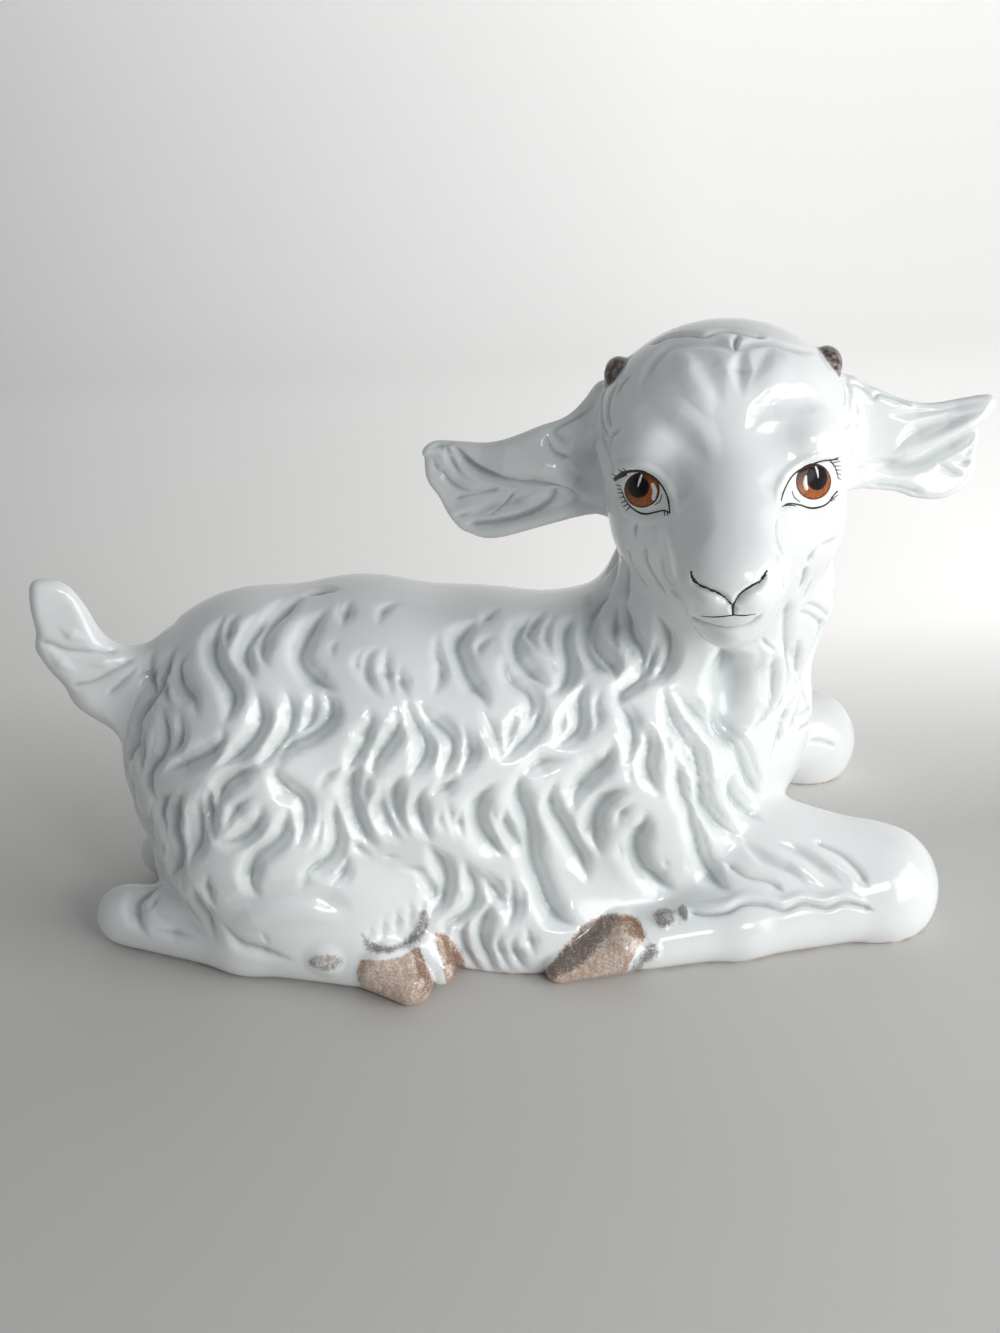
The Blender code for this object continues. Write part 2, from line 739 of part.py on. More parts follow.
def build():
    """Cast every piece and lute the statue together."""
    clear_scene()
    trunk = make_trunk()
    head = make_head()
    tail = make_tail(trunk)
    right_foreleg, right_fore_seat = make_foreleg("right_foreleg", -1, trunk)
    left_foreleg, left_fore_seat = make_foreleg("left_foreleg", 1, trunk)
    right_hind_leg, right_hind_seat = make_hind_leg("right_hind_leg", -1, trunk)
    left_hind_leg, left_hind_seat = make_hind_leg("left_hind_leg", 1, trunk)
    right_fore_hoof = make_hoof("right_fore_hoof", FETLOCK, FORE_TOES, -1, trunk, right_fore_seat)
    left_fore_hoof = make_hoof("left_fore_hoof", FETLOCK, FORE_TOES, 1, trunk, left_fore_seat)
    right_hind_hoof = make_hoof("right_hind_hoof", HIND_FETLOCK, HIND_TOES, -1, trunk, right_hind_seat)
    left_hind_hoof = make_hoof("left_hind_hoof", HIND_FETLOCK, HIND_TOES, 1, trunk, left_hind_seat)
    right_ear = make_ear("right_ear", RIGHT_EAR, -1, head)
    left_ear = make_ear("left_ear", LEFT_EAR, 1, head)
    right_horn_bud = make_horn_bud("right_horn_bud", -1, head)
    left_horn_bud = make_horn_bud("left_horn_bud", 1, head)
    hollow_trunk(trunk)
    hollow_head(head)
    for leg, side in ((right_foreleg, -1), (left_foreleg, 1)):
        cut(leg, foreleg_core(side))
        cut(trunk, breather(side))
    for piece in (trunk, head, tail, right_foreleg, left_foreleg, right_hind_leg, left_hind_leg,
                  right_ear, left_ear):
        finish(piece, white_glaze(piece.name))
    for piece in (right_fore_hoof, left_fore_hoof, right_hind_hoof, left_hind_hoof):
        finish(piece, hoof_glaze(piece.name))
    for piece in (right_horn_bud, left_horn_bud):
        finish(piece, horn_glaze(piece.name))


build()
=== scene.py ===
"""Looks of the lying kid goat: one skin of glazed clay with carved locks, painted eyes and washed hooves.

Shapes are worked out in millimetres in the frame of the CAD model and become metres in new_piece().
The locks and the painted lines are placed by pixels of the photograph, which is 1000 by 1333. Each such
line is thrown from the camera onto the clay, so it lies on the surface from every side.
"""
import json
import math

import bpy
import numpy as np
from mathutils import Matrix, Vector
from mathutils.bvhtree import BVHTree


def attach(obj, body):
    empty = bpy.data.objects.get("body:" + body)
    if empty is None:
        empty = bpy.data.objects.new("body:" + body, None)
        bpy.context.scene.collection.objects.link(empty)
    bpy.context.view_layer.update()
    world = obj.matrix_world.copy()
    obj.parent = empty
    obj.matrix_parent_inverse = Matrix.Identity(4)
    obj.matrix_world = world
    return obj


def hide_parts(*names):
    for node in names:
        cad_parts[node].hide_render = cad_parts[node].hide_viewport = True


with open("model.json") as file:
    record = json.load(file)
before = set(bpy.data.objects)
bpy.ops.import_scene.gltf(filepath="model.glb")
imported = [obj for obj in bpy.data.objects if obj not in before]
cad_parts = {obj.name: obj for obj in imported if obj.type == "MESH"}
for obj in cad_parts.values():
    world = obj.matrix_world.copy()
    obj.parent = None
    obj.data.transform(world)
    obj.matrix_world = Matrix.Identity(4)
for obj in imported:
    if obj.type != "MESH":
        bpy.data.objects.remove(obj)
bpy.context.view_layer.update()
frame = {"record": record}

# Camera
IMAGE_SIZE = (1000, 1333)
AIM = (22.0, 18.0, 110.0)       # the point the camera looks at
AIM_DISTANCE = 820.0
ELEVATION = 27.0                # degrees the camera looks down
AZIMUTH = 10.0                  # degrees the statue is turned
FOCAL_PIXELS = 1640.0
SENSOR = 36.0

# Clay: blocks of cells that hold the distance to the surface, each from one corner to another
STEP = 1.6                      # size of a cell
BAND = 12.0                     # distances are kept up to this far from the clay
OUTSIDE = 1e8                   # the distance given outside a block
FAR = 1e9                       # further than any distance
TRUNK_BLOCK = ((-190, -115, -BAND), (200, 115, 225))
HEAD_BLOCK = ((40, -145, 150), (205, 65, 305))
LIMB_BLOCK = ((-205, -125, -BAND), (250, 125, 95))
HOOF_BLOCK = ((-110, -125, -BAND), (110, 125, 50))
HORN_BLOCK_HALF = 30
WHOLE_BLOCK = ((-225, -150, -2 * BAND), (265, 125, 310))
TRUNK_SOFTENING = 13            # cells in the width that a piece is smoothed over
HEAD_SOFTENING = 9
LIMB_SOFTENING = 5
LEAST_STEEPNESS = 0.05          # points that settle take no slope as flatter than this
SETTLE_SHARE = 0.8              # the share of their way that they go in one round

# Trunk: centre, radii and pitch in degrees of each lump, as in the CAD model, then the lumps on both flanks
TRUNK_BALLS = (
    ((-10, 0, 78), (125, 81, 80), 0),
    ((-93, 0, 83), (72, 77, 83), -6),
    ((-48, 0, 82), (80, 79, 86), 0),
    ((70, 0, 76), (92, 80, 75), 0),
    ((-8, 0, 26), (150, 88, 46), 0),
    ((28, 0, 12), (88, 97, 34), 0),
    ((125, 0, 88), (53, 56, 70), 0),
    ((139, -2, 153), (46, 43, 50), 0),
)
TRUNK_PAIRS = (((-92, 46, 62), (58, 38, 54)), ((84, 44, 64), (48, 38, 58)))
NECK_LOW = ((112, 0, 125), 51)  # centre and radius of the neck's two ends, the upper one in the head's frame
NAPE = ((3, 8, -42), 47)
NECK_SEAM = 166.0               # the head's skin starts at this height
NECK_BACK = 30.0                # the neck lies in front of this
VENT_CENTRE = (-62, 0)
VENT_RADIUS = 13.0
VENT_FROM = -30.0
VENT_DEPTH = 40.0

# Head: lumps in the head's own frame, u to the goat's left, v out of the face, w up, then those on both sides
HEAD_CENTRE = (121, -12, 232)
HEAD_TURN = 15.0                # degrees the face is turned back from square across the trunk
HEAD_ROLL = 4.5                 # degrees the goat's left side is raised
HEAD_BALLS = (
    ((-1, -2, 1), (61, 58, 52)),
    ((0, 6, 24), (50, 46, 34)),
    ((0, 88, -28), (26, 22, 21)),
    ((0, 78, -51), (20, 22, 16)),
)
HEAD_PAIRS = (((31, 2, 18), (24, 36, 27)), ((29, 22, -24), (25, 34, 31)), ((33, 36, 10), (19, 19, 19)))
BRIDGE = ((0, 40, -12), 34, (0, 84, -30), 25)
JAW = ((0, 20, -42), 31, (0, 62, -44), 22)
HORN_BUD = ((46.5, -2, 34), (7, 10, 8))
HORN_STAIN_REACH = 1.4          # how far from a bud its stain ends

# Legs on the +Y side: centre and radius at each end of each bar, and centre and radii of each pad
FORELEG_BONES = (
    ((122, 46, 42), 25, (190, 66, 28), 20),
    ((190, 66, 28), 20, (199, 70, 25), 23),
    ((130, 60, 30), 24, (192, 72, 24), 23.5),
    ((188, 79, 18), 20.5, (120, 87, 14), 15.5),
    ((120, 86, 14), 15, (70, 89, 13), 14),
)
FORELEG_PADS = (((138, 62, 24), (52, 27, 23)), ((199, 74, 14), (25, 23, 25)))
KNEE_FROM = 180.0               # what lies in front of this belongs to the knee
LEFT_KNEE_SHIFT = 12.0
HIND_BONES = (
    ((-169, 27, 15), 15.5, (-112, 58, 18), 18),
    ((-112, 58, 18), 18, (-58, 80, 16), 16),
)
HIND_PADS = (((-74, 64, 38), (52, 24, 28)),)
HOCK_TO = -150.0                # what lies behind this belongs to the hock
LEFT_HOCK_SHIFT = 20.0
FORE_TOES = (
    ((60, 93, 14), 12.5, (31, 94, 7), 7.5),
    ((60, 84, 16), 12.0, (35, 84, 9), 7.5),
)
HIND_TOES = (
    ((-52, 87, 15), 14.0, (-40, 96, 9), 10.5),
    ((-34, 82, 18), 11.5, (-25, 89, 10.5), 8.0),
)
BONE_BLEND = 8.0                # how softly bars, pads and toes run into each other
PAD_BLEND = 10.0
TOE_BLEND = 1.5

# Ears: outlines of the rolled upper flap and of the lobe behind it, in pixels
EAR_LEAN = 14.0                 # degrees the lower edge stands forward
EAR_SWEEP = 5.0                 # degrees the tip lies back
EAR_ROOT = (46.0, -4.0, 0.0)    # in the head's frame, on the left
FLAP_HALF = (5.2, 0.016, 2.5, 5.5)  # half thickness at the root, what each millimetre takes away, least and most
LOBE_HALF = (3.6, 0.01, 2.0, 4.0)
FLAP_RISE = 2.0                 # how far the flap lies out of the ear's plane
LOBE_RISE = -1.5
LOBE_CUP = 0.004                # how much the lobe bends up towards its edges
LOBE_MIDDLE = -8.0
LOBE_BLEND = 2.0
RIGHT_FLAP = ((612, 392), (600, 383), (584, 401), (568, 414), (545, 426), (525, 436), (507, 441), (486, 442),
              (453, 440), (436, 440), (425, 447), (424, 456), (436, 454), (455, 452), (476, 466), (495, 475),
              (516, 482), (538, 488), (562, 492), (600, 500), (640, 480), (640, 400))
RIGHT_LOBE = ((600, 420), (560, 434), (525, 444), (486, 446), (453, 444), (432, 444), (425, 452), (424, 466),
              (427, 481), (437, 496), (447, 512), (460, 527), (470, 532), (486, 537), (504, 536), (530, 529),
              (553, 523), (576, 517), (596, 513), (640, 505), (640, 420))
LEFT_FLAP = ((848, 376), (866, 384), (884, 391), (900, 398), (918, 402), (935, 402), (958, 398), (981, 394),
             (991, 395), (995, 402), (990, 412), (981, 421), (967, 430), (935, 443), (906, 453), (880, 460),
             (850, 466), (815, 450), (815, 390))
LEFT_LOBE = ((850, 420), (900, 420), (950, 418), (976, 424), (980, 436), (976, 450), (974, 472), (966, 484),
             (953, 494), (935, 499), (912, 497), (898, 492), (884, 490), (860, 488), (840, 486), (815, 470),
             (815, 430))

# Tail: outline in pixels, in the upright plane through the spine
TAIL_OUTLINE = ((36, 580), (52, 580), (66, 585), (76, 594), (88, 610), (98, 627), (110, 640), (128, 647),
                (149, 648), (175, 640), (200, 660), (190, 720), (150, 728), (126, 728), (109, 722), (90, 713),
                (74, 701), (64, 684), (50, 669), (40, 656), (35, 646), (36, 632), (31, 612), (29, 596),
                (30, 585))
TAIL_ORIGIN = (-140.0, 0.0, 121.0)  # thickness is worked out from here, backward and up
TAIL_ROOT_HALF_THICKNESS = 14.0
TAIL_TIP_HALF_THICKNESS = 4.5
TAIL_THINNING = (5.0, 70.0)     # where it starts and ends along the tail

# Carving: depth and half width in millimetres of three sorts of valley and of the hairs beside them
DEEP = (7.0, 10.5)
PLAIN = (5.6, 9.0)
FINE = (3.4, 7.0)
STRAND = (0.8, 2.8)
STRAND_SHIFTS = (-8.0, 8.0)     # how far beside a valley the hairs lie, in pixels
STRAND_SPACING = 6.0            # pixels between the points of a hair
LINE_SPACING = 3.0              # pixels, or degrees, between the points of a thrown line
LEAP = 9.0                      # a line ends where the next point is further than this
HIDDEN_BY = 2.0                 # a point this far behind what the camera sees is hidden
SHORT_VALLEY = 26.0             # a valley that is shorter than this is shallower and narrower
FADE = 12.0                     # a valley rises to the surface over this length at its ends
END_DEPTH = 0.1                 # share of the depth and of the width that is left at an end
END_WIDTH = 0.4
THIN_STROKE = 4.0               # up to this half width a stroke of the face is a crease and fades faster
THIN_FADE = 4.0
POOL_SHADE_FROM = 1.0                 # glaze pools, and shade is painted, in valleys that are deeper than this, and most this much deeper
POOL_SHADE_RANGE = 4.0
POOL_SHADE_MOST = 0.6
CREASE_ROUNDS = 24              # how widely the surroundings of a crease are evened out
CREASE_SHADE_DEPTH = 0.9              # a crease this much below its surroundings has the darkest painted shade
CREASE_SHADE_MOST = 0.85

# Valleys between the locks, as x and y of the photograph's pixels in turn
DEEP_VALLEYS = (
    (666, 638, 668, 654, 664, 670, 654, 680),
    (613, 744, 606, 760, 594, 772, 582, 786, 574, 800, 574, 810),
    (700, 764, 704, 784, 706, 804, 714, 816, 724, 828, 736, 836),
    (182, 794, 174, 806, 170, 820, 170, 832, 174, 846, 174, 860, 170, 874, 167, 888, 170, 902),
    (210, 786, 206, 800, 206, 816, 210, 832, 214, 840),
    (360, 762, 352, 780, 352, 800, 358, 820, 370, 834),
    (352, 772, 351, 788, 351, 804, 356, 820, 364, 836, 376, 848),
    (384, 784, 382, 800, 383, 816, 392, 832, 400, 840),
    (404, 774, 396, 788, 394, 804, 398, 820, 408, 836),
    (494, 784, 482, 800, 478, 818, 482, 834, 494, 850, 510, 858),
    (522, 772, 520, 790, 524, 810, 530, 826, 532, 844, 534, 864, 542, 884, 548, 900, 558, 916, 576, 926),
    (628, 790, 612, 796, 600, 808, 594, 824, 594, 840, 600, 854),
    (646, 814, 644, 828, 636, 844, 636, 858, 644, 874, 658, 884, 674, 890),
)
PLAIN_VALLEYS = (
    (153, 650, 149, 664, 148, 682, 150, 698, 153, 708),
    (145, 724, 140, 742, 138, 760, 139, 778),
    (158, 710, 161, 726, 159, 742, 153, 762, 148, 778),
    (179, 714, 179, 730, 172, 746, 158, 760),
    (162, 666, 160, 682, 164, 698, 170, 706),
    (187, 654, 178, 664, 176, 678, 182, 690, 192, 700, 197, 714),
    (222, 618, 214, 630, 211, 646, 214, 662, 224, 678, 230, 690, 231, 702, 228, 714, 224, 722),
    (238, 614, 228, 624, 225, 638, 227, 649),
    (222, 730, 221, 740, 210, 750, 190, 760, 162, 772),
    (276, 610, 258, 624, 248, 638, 244, 652, 248, 666, 254, 678),
    (255, 690, 260, 706, 260, 722, 250, 740, 234, 756, 214, 768),
    (302, 596, 284, 608, 268, 624, 262, 640, 262, 654, 268, 666),
    (325, 610, 312, 624, 304, 640, 300, 654, 306, 668, 318, 680, 336, 692),
    (350, 600, 346, 610, 342, 626),
    (284, 690, 292, 706, 290, 726, 282, 742, 268, 758, 254, 768),
    (310, 690, 314, 702, 312, 716, 302, 730, 290, 740),
    (322, 690, 330, 704, 328, 718, 314, 732, 294, 742, 282, 754, 278, 770),
    (387, 650, 387, 666, 390, 682, 390, 694),
    (400, 662, 401, 676, 405, 690, 408, 698),
    (476, 620, 462, 632, 458, 644, 462, 658, 466, 670, 474, 684, 484, 698, 486, 708),
    (534, 612, 522, 624, 517, 638, 519, 654, 528, 666, 540, 678, 552, 686),
    (546, 610, 532, 624, 531, 638, 536, 648),
    (544, 656, 556, 666, 554, 678),
    (578, 610, 568, 624, 566, 640, 569, 656, 568, 672, 562, 686, 550, 694),
    (598, 600, 588, 614, 586, 634, 590, 648, 598, 658),
    (504, 656, 506, 668, 516, 680, 528, 690, 534, 702, 532, 718, 524, 736),
    (534, 694, 540, 708, 536, 726, 520, 744, 504, 760),
    (516, 710, 514, 726, 510, 742, 502, 756),
    (566, 702, 565, 718, 562, 736, 558, 744),
    (586, 682, 579, 698, 580, 714, 578, 728, 566, 740, 554, 748),
    (370, 710, 371, 722, 366, 734, 363, 746, 352, 762, 344, 778),
    (396, 710, 398, 726, 390, 740, 376, 760, 372, 780),
    (406, 700, 414, 718, 424, 736, 426, 750, 420, 764, 408, 778),
    (420, 702, 428, 716, 442, 728, 452, 740, 452, 754, 446, 768, 440, 780),
    (462, 724, 468, 740, 470, 754, 464, 768, 460, 778),
    (594, 754, 576, 768),
    (611, 592, 592, 608, 587, 628, 588, 646, 596, 660, 608, 670, 613, 680),
    (619, 600, 612, 618, 613, 636, 617, 650),
    (638, 630, 632, 644, 630, 658, 631, 666),
    (658, 636, 654, 650, 648, 666, 638, 678, 624, 688, 620, 700, 623, 710),
    (718, 648, 724, 660, 724, 674, 720, 684),
    (662, 698, 666, 710, 676, 726, 690, 742, 698, 754, 702, 770, 704, 786, 706, 800),
    (674, 692, 690, 706, 706, 722, 718, 740, 722, 752),
    (674, 756, 680, 770, 682, 786, 686, 800, 692, 812, 694, 826, 698, 840, 702, 856, 708, 872, 718, 884, 730, 890),
    (736, 772, 732, 786, 740, 804, 748, 816),
    (172, 792, 160, 802, 157, 814, 161, 826, 166, 838),
    (200, 794, 195, 808, 196, 824, 196, 840, 190, 856, 187, 868),
    (250, 798, 238, 806, 228, 820, 228, 828),
    (262, 764, 240, 774, 222, 786, 216, 804, 218, 818),
    (214, 842, 230, 843, 246, 836, 258, 822, 262, 806),
    (276, 762, 276, 776, 286, 790, 300, 800, 305, 812, 305, 828, 300, 840, 294, 848),
    (288, 804, 287, 820, 282, 836, 270, 848, 256, 858, 250, 872, 250, 886, 258, 898),
    (208, 876, 206, 888, 210, 900, 216, 906),
    (164, 886, 150, 888, 138, 896, 134, 908, 138, 924, 146, 934),
    (146, 912, 154, 900, 162, 890),
    (194, 890, 196, 904, 206, 918, 214, 936),
    (340, 794, 335, 808, 336, 826, 338, 844, 330, 862, 310, 874, 302, 888),
    (348, 836, 356, 846, 370, 858),
    (348, 854, 346, 868, 340, 878, 326, 884),
    (370, 772, 365, 788, 366, 804, 374, 816),
    (428, 786, 420, 798, 418, 814, 424, 830, 430, 840),
    (460, 772, 448, 786, 436, 792, 426, 798),
    (464, 806, 460, 822, 464, 836, 470, 840),
    (508, 804, 506, 820, 510, 834, 520, 848, 530, 866),
    (556, 782, 552, 798, 554, 814, 562, 828, 572, 846, 582, 864, 588, 880),
    (578, 772, 572, 790, 576, 808),
    (418, 874, 430, 886, 436, 900, 432, 912, 426, 918),
    (428, 846, 440, 864, 446, 880, 444, 896, 436, 910, 426, 918),
    (464, 862, 470, 876, 476, 892, 472, 908, 460, 920, 448, 926, 446, 940),
    (476, 872, 488, 884, 500, 898, 506, 908, 508, 920),
    (494, 896, 488, 912, 482, 926, 480, 940, 484, 956, 494, 972),
    (510, 878, 514, 896, 514, 912, 506, 928),
    (472, 916, 464, 930, 462, 944, 466, 958, 478, 970),
    (500, 934, 498, 946, 502, 960, 510, 970),
    (516, 936, 512, 948, 518, 962, 526, 970),
    (526, 926, 530, 940, 534, 956),
    (634, 804, 622, 814, 616, 828),
    (662, 688, 674, 717, 698, 760, 703, 798, 690, 812),
    (712, 703, 724, 727, 741, 750, 750, 774, 762, 800),
    (731, 784, 743, 806, 760, 820),
    (589, 596, 591, 636, 612, 665, 617, 684),
    (622, 596, 627, 631, 641, 655, 639, 679, 620, 690),
    (655, 612, 667, 646, 662, 670, 644, 686),
    (672, 720, 690, 748, 694, 780),
    (640, 720, 650, 744, 648, 770, 660, 796),
    (612, 700, 628, 716, 634, 740, 626, 766),
    (143, 724, 134, 736, 127, 754, 126, 770),
    (568, 759, 544, 762, 530, 770, 523, 780),
    (300, 596, 322, 590, 340, 590),
)
FINE_VALLEYS = (
    (214, 682, 222, 694, 225, 708, 224, 716),
    (262, 622, 256, 636, 255, 652, 258, 662),
    (302, 626, 294, 640, 295, 654, 300, 664),
    (340, 640, 333, 644, 332, 658),
    (400, 602, 388, 606, 381, 614, 378, 624),
    (364, 648, 357, 658, 358, 672, 362, 682),
    (377, 648, 368, 656, 366, 670, 372, 686, 382, 698),
    (434, 672, 426, 678),
    (438, 634, 438, 650, 442, 664, 440, 680, 434, 694),
    (494, 636, 484, 640, 478, 650, 480, 660),
    (480, 710, 492, 726, 500, 746, 502, 762),
    (606, 606, 600, 620, 596, 632),
    (788, 600, 788, 640, 790, 674, 786, 694, 770, 716, 758, 730),
    (800, 646, 800, 674, 800, 698, 786, 718, 780, 740, 770, 762),
    (240, 852, 262, 846, 280, 834),
    (222, 924, 238, 944, 254, 950, 290, 960),
    (262, 932, 268, 946),
    (150, 930, 176, 934, 196, 940),
    (296, 772, 294, 780, 298, 788),
    (344, 764, 326, 778, 318, 792),
    (442, 806, 440, 820, 448, 836),
    (380, 856, 400, 858),
    (400, 868, 420, 872, 432, 884),
    (542, 912, 540, 926),
    (664, 858, 668, 872),
    (686, 858, 694, 876),
    (789, 646, 806, 684, 798, 717, 784, 736),
    (770, 650, 772, 684, 765, 717, 750, 736),
    (372, 924, 370, 934, 366, 942),
    (384, 916, 384, 930, 380, 944),
    (396, 908, 398, 924, 396, 940),
    (408, 900, 412, 914, 408, 932),
    (420, 888, 424, 902, 418, 922),
    (164, 840, 160, 856, 153, 872, 147, 884),
    (170, 852, 164, 868, 158, 882),
    (186, 858, 180, 876, 182, 892),
    (232, 806, 244, 800, 256, 796),
    (232, 832, 240, 822, 250, 812),
    (320, 800, 322, 820, 318, 840, 310, 852),
    (500, 606, 488, 616, 478, 628),
    (556, 612, 548, 626, 548, 642, 554, 656),
    (520, 696, 524, 710, 520, 726),
    (600, 690, 596, 706, 598, 722, 590, 736),
    (636, 760, 630, 774, 634, 788),
    (660, 720, 668, 740, 672, 756),
    (446, 800, 452, 820, 456, 838),
    (494, 800, 494, 818, 500, 834),
    (540, 800, 542, 818, 548, 836),
    (456, 884, 460, 900, 452, 914),
    (520, 880, 524, 896, 522, 912),
    (620, 836, 622, 856, 628, 872),
)

# Locks that the camera doesn't see or sees edge on: the distance along the body of an upright axis, then lines
# of degrees round it, from the front towards the left flank, and heights
WRAPPED_VALLEYS = (
    (-90, PLAIN, (
        (197, 150, 203, 135, 199, 118, 206, 100),
        (188, 98, 194, 84, 189, 70, 196, 55, 192, 42),
        (178, 96, 173, 82, 179, 66, 173, 52, 178, 38),
        (204, 92, 198, 78, 205, 62, 200, 46),
        (166, 94, 171, 80, 165, 64, 170, 50, 164, 38),
        (162, 152, 156, 136, 161, 118, 154, 102),
        (184, 56, 188, 44, 183, 30),
        (214, 132, 220, 116, 213, 100, 219, 86),
        (216, 80, 210, 64, 216, 50, 210, 38),
        (148, 132, 142, 116, 149, 100, 143, 86),
        (150, 80, 156, 64, 150, 50, 156, 38),
    )),
    (110, FINE, (
        (-30, 150, -24, 132, -30, 112, -22, 94),
        (-14, 156, -8, 138, -14, 118, -7, 98, -12, 80),
        (2, 150, 8, 130, 2, 110, 8, 92),
        (18, 154, 12, 136, 18, 116, 12, 98, 17, 80),
        (34, 148, 28, 128, 34, 110),
        (50, 152, 56, 134, 50, 116),
        (-4, 96, 2, 80, -4, 64),
        (26, 92, 20, 76, 26, 62),
        (-24, 84, -18, 70, -22, 56),
        (68, 150, 62, 130, 68, 112),
        (86, 154, 80, 136, 86, 118),
        (100, 190, 106, 174, 100, 158, 106, 142),
        (120, 196, 114, 180, 120, 162),
        (140, 192, 134, 176, 140, 160),
        (160, 196, 154, 180, 160, 164),
        (180, 190, 186, 176, 180, 162),
        (200, 192, 194, 176, 200, 160),
        (220, 188, 214, 172, 220, 156),
        (70, 262, 64, 244, 70, 226, 64, 208),
        (90, 270, 96, 252, 90, 234, 96, 216),
        (112, 272, 106, 254, 112, 236, 106, 218),
        (134, 268, 140, 250, 134, 232, 140, 214),
        (156, 262, 150, 244, 156, 226),
        (16, 202, 22, 188, 16, 172, 22, 158),
        (34, 206, 28, 190, 34, 174, 28, 160),
        (52, 208, 58, 192, 52, 176),
        (70, 206, 64, 190, 70, 174),
        (86, 208, 92, 194, 86, 178),
        (-12, 176, -18, 164, -12, 150),
        (60, 112, 66, 98, 60, 84),
        (78, 112, 72, 96, 78, 82),
        (42, 110, 48, 94, 42, 80),
        (100, 214, 94, 204, 100, 196),
        (124, 214, 130, 204, 124, 196),
        (148, 214, 142, 204, 148, 196),
        (172, 214, 178, 204, 172, 192),
        (78, 284, 84, 274, 78, 266),
        (100, 286, 106, 276, 100, 268),
        (122, 286, 128, 276, 122, 268),
        (144, 284, 150, 274, 144, 266),
        (168, 278, 174, 266, 168, 256),
        (176, 250, 170, 238, 176, 224),
    )),
)

# Strokes of the face and crown: depth (minus for a ridge) and half width in millimetres, then the line in pixels
FACE_STROKES = (
    (1.7, 6.0, (640, 392, 646, 376, 655, 360, 668, 347, 685, 342.5, 703, 341, 716, 342, 727, 347, 736, 353)),
    (1.5, 5.0, (736, 353, 744, 346, 756, 342, 770, 341.5, 782, 345, 795, 349, 812, 352)),
    (2.2, 4.0, (650, 345, 670, 336, 690, 334, 704, 335, 716, 331, 728, 330, 742, 332, 756, 335, 768, 337)),
    (2.4, 3.0, (738, 333, 735, 342, 736, 352)),
    (2.4, 7.0, (742, 350, 742, 364, 741, 378, 741, 392)),
    (-0.7, 7.0, (712, 346, 724, 356, 732, 368, 738, 382)),
    (1.3, 8.0, (694, 350, 706, 366, 714, 384, 720, 400)),
    (-0.6, 6.0, (764, 345, 754, 356, 747, 370, 744, 384)),
    (0.9, 7.0, (772, 346, 762, 357, 754, 370, 748, 386)),
    (-1.0, 8.0, (678, 352, 690, 374, 702, 398, 709, 420)),
    (-0.6, 8.0, (792, 352, 778, 368, 768, 388, 762, 404)),
    (1.2, 8.0, (752, 424, 762, 411, 776, 403, 795, 400, 812, 401, 828, 409)),
    (1.1, 8.0, (622, 428, 640, 418, 660, 420, 678, 432, 692, 446, 704, 462)),
    (-0.9, 8.0, (655, 404, 675, 410, 694, 424, 708, 440, 716, 456)),
    (1.6, 2.6, (606, 388, 601, 404, 602, 424, 608, 440)),
    (1.6, 2.6, (618, 382, 610, 398, 608, 416, 612, 430)),
    (1.4, 2.4, (632, 374, 622, 384, 616, 398)),
    (1.6, 2.6, (600, 430, 606, 448, 612, 464)),
    (1.4, 2.4, (622, 428, 612, 436, 609, 450, 611, 466)),
    (1.4, 2.4, (634, 352, 626, 362, 616, 374, 608, 386)),
    (1.6, 2.6, (846, 376, 851, 392, 850, 410, 852, 424)),
    (1.4, 2.4, (838, 372, 845, 390, 845, 408)),
    (1.6, 2.6, (852, 424, 846, 430, 850, 446, 854, 460)),
    (1.6, 2.6, (850, 470, 846, 484, 848, 498)),
    (1.4, 9.0, (676, 470, 680, 486, 680, 504, 676, 520)),
    (1.0, 8.0, (776, 470, 772, 488, 774, 504)),
    (-1.2, 3.0, (611, 478, 620, 468, 640, 466, 655, 472, 667, 484, 673, 498, 676, 514)),
    (-0.9, 3.0, (616, 494, 624, 510, 636, 519, 650, 520, 664, 517, 674, 518)),
    (-1.2, 3.0, (776, 502, 779, 488, 787, 474, 800, 464, 816, 457, 834, 455, 842, 458)),
    (-0.9, 3.0, (780, 512, 794, 511, 810, 514, 826, 511, 838, 499, 842, 488)),
    (-0.5, 12.0, (694, 488, 698, 500, 702, 530, 706, 556, 712, 574)),
    (1.5, 13.0, (682, 486, 688, 512, 690, 540, 690, 562)),
    (-0.4, 11.0, (772, 490, 768, 510, 765, 540, 762, 562)),
    (1.0, 12.0, (784, 500, 780, 530, 778, 556)),
    (2.2, 3.2, (690, 572, 694, 583, 705, 589, 717, 594, 726, 601, 733, 607)),
    (2.2, 3.2, (768, 569, 761, 583, 750, 590, 742, 595, 737, 601, 733, 607)),
    (2.2, 3.0, (733, 603, 733, 616)),
    (2.7, 3.4, (668, 588, 680, 600, 692, 611, 704, 617, 720, 618, 734, 617, 752, 616, 766, 611, 778, 603)),
    (1.8, 3.0, (690, 618, 704, 624, 718, 628, 733, 629, 750, 625, 764, 613)),
    (1.6, 2.6, (779, 512, 777, 530, 780, 545, 785, 556)),
    (1.4, 2.4, (773, 545, 780, 560, 784, 576, 785, 592)),
    (1.4, 2.2, (792, 560, 790, 575, 784, 592)),
    (2.4, 3.4, (846, 524, 838, 538, 824, 546, 814, 554, 806, 566)),
    (1.9, 3.0, (806, 566, 804, 580, 798, 592)),
    (1.4, 2.4, (812, 580, 806, 594, 800, 604)),
    (1.4, 2.4, (830, 560, 822, 578, 812, 596)),
    (1.6, 2.6, (628, 548, 630, 562, 638, 576, 648, 588)),
    (1.6, 2.6, (645, 545, 646, 562, 654, 578, 666, 594)),
    (1.4, 2.4, (660, 556, 664, 574, 674, 590, 684, 602)),
    (1.6, 2.6, (636, 540, 634, 530, 638, 522)),
)
